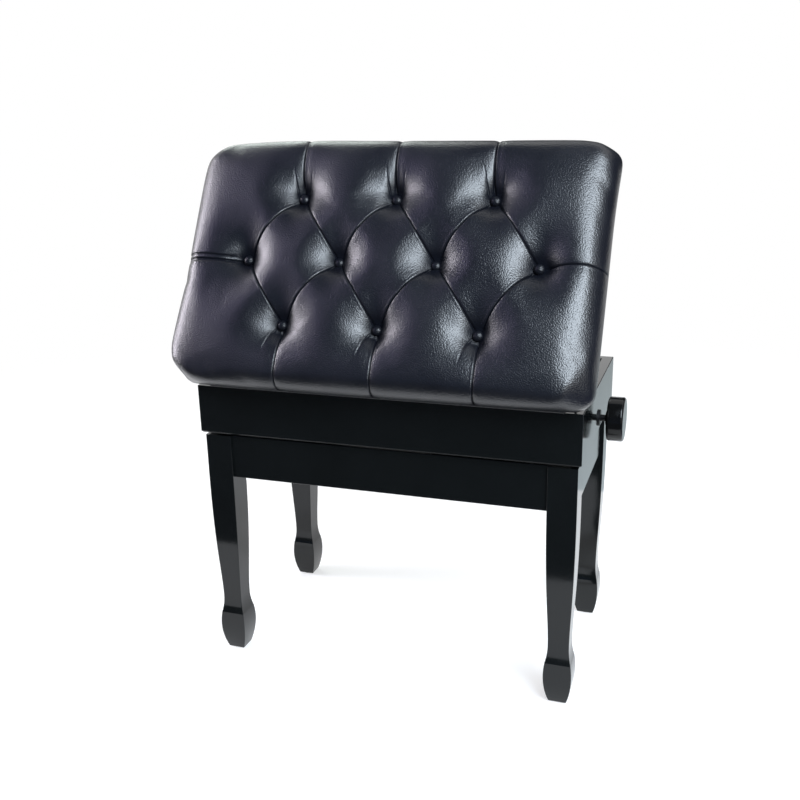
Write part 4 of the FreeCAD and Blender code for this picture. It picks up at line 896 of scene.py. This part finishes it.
for body, nodes in (("base", ("plate_screws", "lower_rail_screws")),
                    ("box", ("upper_rail_screws", "hinge_screws_box", "stay_track_screws")),
                    ("lid", ("hinge_screws_lid", "stay_bracket_screws"))):
    spots = []
    for points in [group for node in nodes for group in separate(node)]:
        middle = points.mean(axis=0)
        way = np.linalg.svd(points - middle)[2][0]
        along = (points - middle) @ way
        across = np.linalg.norm(points - middle - np.outer(along, way), axis=1)
        if across[along > 0].max() < across[along < 0].max():
            way, along = -way, -along
        rim_along = along[across > HEAD_RIM * across.max()]
        size = (across.max(), across.max(), rim_along.max() - rim_along.min())
        spots.append((middle + way * along.max(), way, SCREW_SPIN * len(spots), size))
    screws = scatter(body + "_screws", screw_piece, spots, zinc)
    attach(screws, body)
    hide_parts(*nodes)

# Stage. A pale paper floor in a white room, with one softbox on the right and three weaker ones on the left:
# one low, one behind and one high. Dyed cloths on the floor and round the room show only in reflections. The
# dark ones keep the gloss black, and the pale ones lighten the stool's right side.
def seen_share(tree):
    """Value that is 1 for what the camera sees, straight or mirrored, and 0 for the light on things."""
    path = add(tree, "ShaderNodeLightPath").outputs
    seen = add(tree, "ShaderNodeMath", {0: path["Is Camera Ray"], 1: path["Is Glossy Ray"]}, operation="ADD")
    seen = add(tree, "ShaderNodeMath", {0: seen.outputs[0], 1: path["Is Transmission Ray"]}, operation="ADD",
               use_clamp=True)
    return seen.outputs[0]


scene = bpy.context.scene
scene.view_settings.view_transform = "Standard"
world = bpy.data.worlds.new("white_room")
scene.world = world
world.use_nodes = True
tree = world.node_tree
ROOM_LIGHT = 0.5
level = add(tree, "ShaderNodeMapRange", {"Value": seen_share(tree), "To Min": ROOM_LIGHT, "To Max": 1.0})
tree.links.new(level.outputs["Result"], tree.nodes["Background"].inputs["Strength"])
tree.nodes["Background"].inputs["Color"].default_value = (1, 1, 1, 1)

# Paper floor: matt and pale, fading into the white of the room.
FLOOR_RADIUS = 4.0
FLOOR_GLOW = 0.55
FADE_START, FADE_END = 0.9, 2.2
floor_shape = bmesh.new()
bmesh.ops.create_circle(floor_shape, cap_ends=True, segments=96, radius=FLOOR_RADIUS)
floor = show("floor", finish_mesh(floor_shape, "floor"))
paper, tree, shader, place = new_material("white_paper_floor")
shader.inputs["Base Color"].default_value = linear("#c8c8c8")
shader.inputs["Roughness"].default_value = 0.9
shader.inputs["Specular IOR Level"].default_value = 0.0
far = add(tree, "ShaderNodeVectorMath", {0: place}, operation="LENGTH")
fade = add(tree, "ShaderNodeMapRange", {"Value": far.outputs["Value"], "From Min": FADE_START,
                                        "From Max": FADE_END, "To Min": 1.0, "To Max": 0.0},
           interpolation_type="SMOOTHSTEP")
tree.links.new(fade.outputs["Result"], shader.inputs["Alpha"])
glow = add(tree, "ShaderNodeMath", {0: seen_share(tree), 1: FLOOR_GLOW}, operation="MULTIPLY")
shader.inputs["Emission Color"].default_value = (1, 1, 1, 1)
tree.links.new(glow.outputs[0], shader.inputs["Emission Strength"])
floor.data.materials.append(paper)
floor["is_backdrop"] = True

# Cloths: dyed cotton, quite matt. One runs from the floor before the stool up a wall behind the camera and
# over it; that wall fades to a pale violet at its left end. The others lie and hang behind and at the right.
CLOTHS = {"black_floor_cloth": "#1b1e24", "blue_wall_cloth": "#445470", "pale_rear_cloth": "#c4cccc",
          "grey_rear_cloth": "#a0a8aa", "dark_rear_cloth": "#30343e", "violet_side_cloth": "#34364e"}
PALE_END, PALE_UP_TO, BLUE_FROM = "#c8c0ea", -2.7, -1.6
CLOTH_HEIGHT = 0.002
FRONT_RUN = [(-0.44, CLOTH_HEIGHT), (-2.6, CLOTH_HEIGHT), (-3.0, 0.4), (-3.0, 3.6), (-2.2, 4.4), (0.8, 4.6)]
FRONT_FLOOR_LEFT, FRONT_WALL_LEFT, FRONT_RIGHT = -8.0, -5.0, 2.2
FRONT_SKEW = 0.05
FLOOR_CLOTHS = [("pale_rear_cloth", -0.3, 0.62, 4.0, 1.85), ("grey_rear_cloth", -0.3, 1.85, 0.9, 5.0),
                ("dark_rear_cloth", -6.0, 0.6, -0.3, 5.0), ("violet_side_cloth", 0.65, -1.0, 3.0, 0.6)]
REAR_WALL = 5.0
REAR_CLOTHS = [(-1.6, 0.5, -0.8, 5.0), (-0.8, 2.2, 0.1, 5.0), (0.1, 0.5, 6.0, 5.0)]
SIDE_WALL = 3.0
SIDE_CLOTH = (-0.6, 0.0, 2.4, 3.2)


def oblong(left, low, right, high):
    """Corners of an oblong, from its lower left and upper right ones."""
    return [(left, low), (right, low), (right, high), (left, high)]


sheets = []
for k, ((near, low), (far, high)) in enumerate(zip(FRONT_RUN, FRONT_RUN[1:])):
    left = FRONT_WALL_LEFT if k else FRONT_FLOOR_LEFT
    corners = [(left, near, low), (FRONT_RIGHT, near, low), (FRONT_RIGHT, far, high), (left, far, high)]
    sheets.append(("blue_wall_cloth" if k else "black_floor_cloth",
                   [(x, y - FRONT_SKEW * x, z) for x, y, z in corners]))
for name, *reach in FLOOR_CLOTHS:
    sheets.append((name, [(x, y, CLOTH_HEIGHT) for x, y in oblong(*reach)]))
for reach in REAR_CLOTHS:
    sheets.append(("dark_rear_cloth", [(x, REAR_WALL, z) for x, z in oblong(*reach)]))
sheets.append(("violet_side_cloth", [(SIDE_WALL, y, z) for y, z in oblong(*SIDE_CLOTH)]))
card_shape = bmesh.new()
for name, corners in sheets:
    face = card_shape.faces.new([card_shape.verts.new(corner) for corner in corners])
    face.material_index = list(CLOTHS).index(name)
card = show("dark_cloth", finish_mesh(card_shape, "dark_cloth"))
card.visible_camera = card.visible_diffuse = card.visible_transmission = card.visible_shadow = False
for name, colour in CLOTHS.items():
    cloth, tree, shader, place = new_material(name)
    shader.inputs["Base Color"].default_value = linear(colour)
    shader.inputs["Roughness"].default_value = 1.0
    if name == "blue_wall_cloth":
        spread = add(tree, "ShaderNodeSeparateXYZ", {"Vector": place})
        share = add(tree, "ShaderNodeMapRange", {"Value": spread.outputs["X"], "From Min": PALE_UP_TO,
                                                 "From Max": BLUE_FROM, "To Min": 0.0, "To Max": 1.0},
                    interpolation_type="SMOOTHSTEP")
        dye = add(tree, "ShaderNodeMix", {"Factor": share.outputs["Result"], "A": linear(PALE_END),
                                          "B": linear(colour)}, data_type="RGBA")
        tree.links.new(dye.outputs["Result"], shader.inputs["Base Color"])
    card.data.materials.append(cloth)
card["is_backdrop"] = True

# Softboxes: name, place, size in metres, watts and colour. All face the seat.
LIGHTS_FACE = Vector((0, -0.05, 0.5))
SOFTBOXES = [("left_softbox", (-1.7, -0.2, 0.95), (0.5, 1.3), 25.0, "#f8f2ff"),
             ("right_softbox", (1.15, -1.1, 1.6), (1.1, 1.3), 60.0, "#e6f3ff"),
             ("top_softbox", (-1.4, 1.6, 2.4), (1.2, 1.0), 20.0, "#f2fff8"),
             ("high_softbox", (-3.3, -2.3, 3.5), (1.5, 1.5), 13.0, "#d2c8ff")]
for name, spot, size, power, colour in SOFTBOXES:
    lamp = bpy.data.lights.new(name, "AREA")
    lamp.shape = "RECTANGLE"
    lamp.size, lamp.size_y = size
    lamp.energy = power
    lamp.color = linear(colour)[:3]
    holder = show(name, lamp)
    holder.location = spot
    holder.rotation_euler = (LIGHTS_FACE - Vector(spot)).to_track_quat("-Z", "Y").to_euler()

# Camera. A normal lens, a little above the seat and to its right, placed and turned so that the stool's
# edges and corners fall where the photograph has them.
CAMERA_PLACE = (0.4139, -1.2496, 0.7529)
YAW, PITCH, ROLL = math.radians(-19.2), math.radians(16.45), math.radians(-1.23)
FOCAL_LENGTH, SENSOR_WIDTH = 43.0, 36.0
NEAREST, FARTHEST = 0.05, 50.0
forward = Vector((math.sin(YAW) * math.cos(PITCH), math.cos(YAW) * math.cos(PITCH), -math.sin(PITCH)))
level_right = Vector((math.cos(YAW), -math.sin(YAW), 0))
level_up = level_right.cross(forward)
right = level_right * math.cos(ROLL) + level_up * math.sin(ROLL)
up = level_up * math.cos(ROLL) - level_right * math.sin(ROLL)
lens = bpy.data.cameras.new("camera")
lens.lens = FOCAL_LENGTH
lens.sensor_width = SENSOR_WIDTH
lens.clip_start, lens.clip_end = NEAREST, FARTHEST
camera = show("camera", lens)
camera.matrix_world = Matrix((right, up, -forward)).transposed().to_4x4()
camera.location = CAMERA_PLACE
scene.camera = camera

low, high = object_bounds()
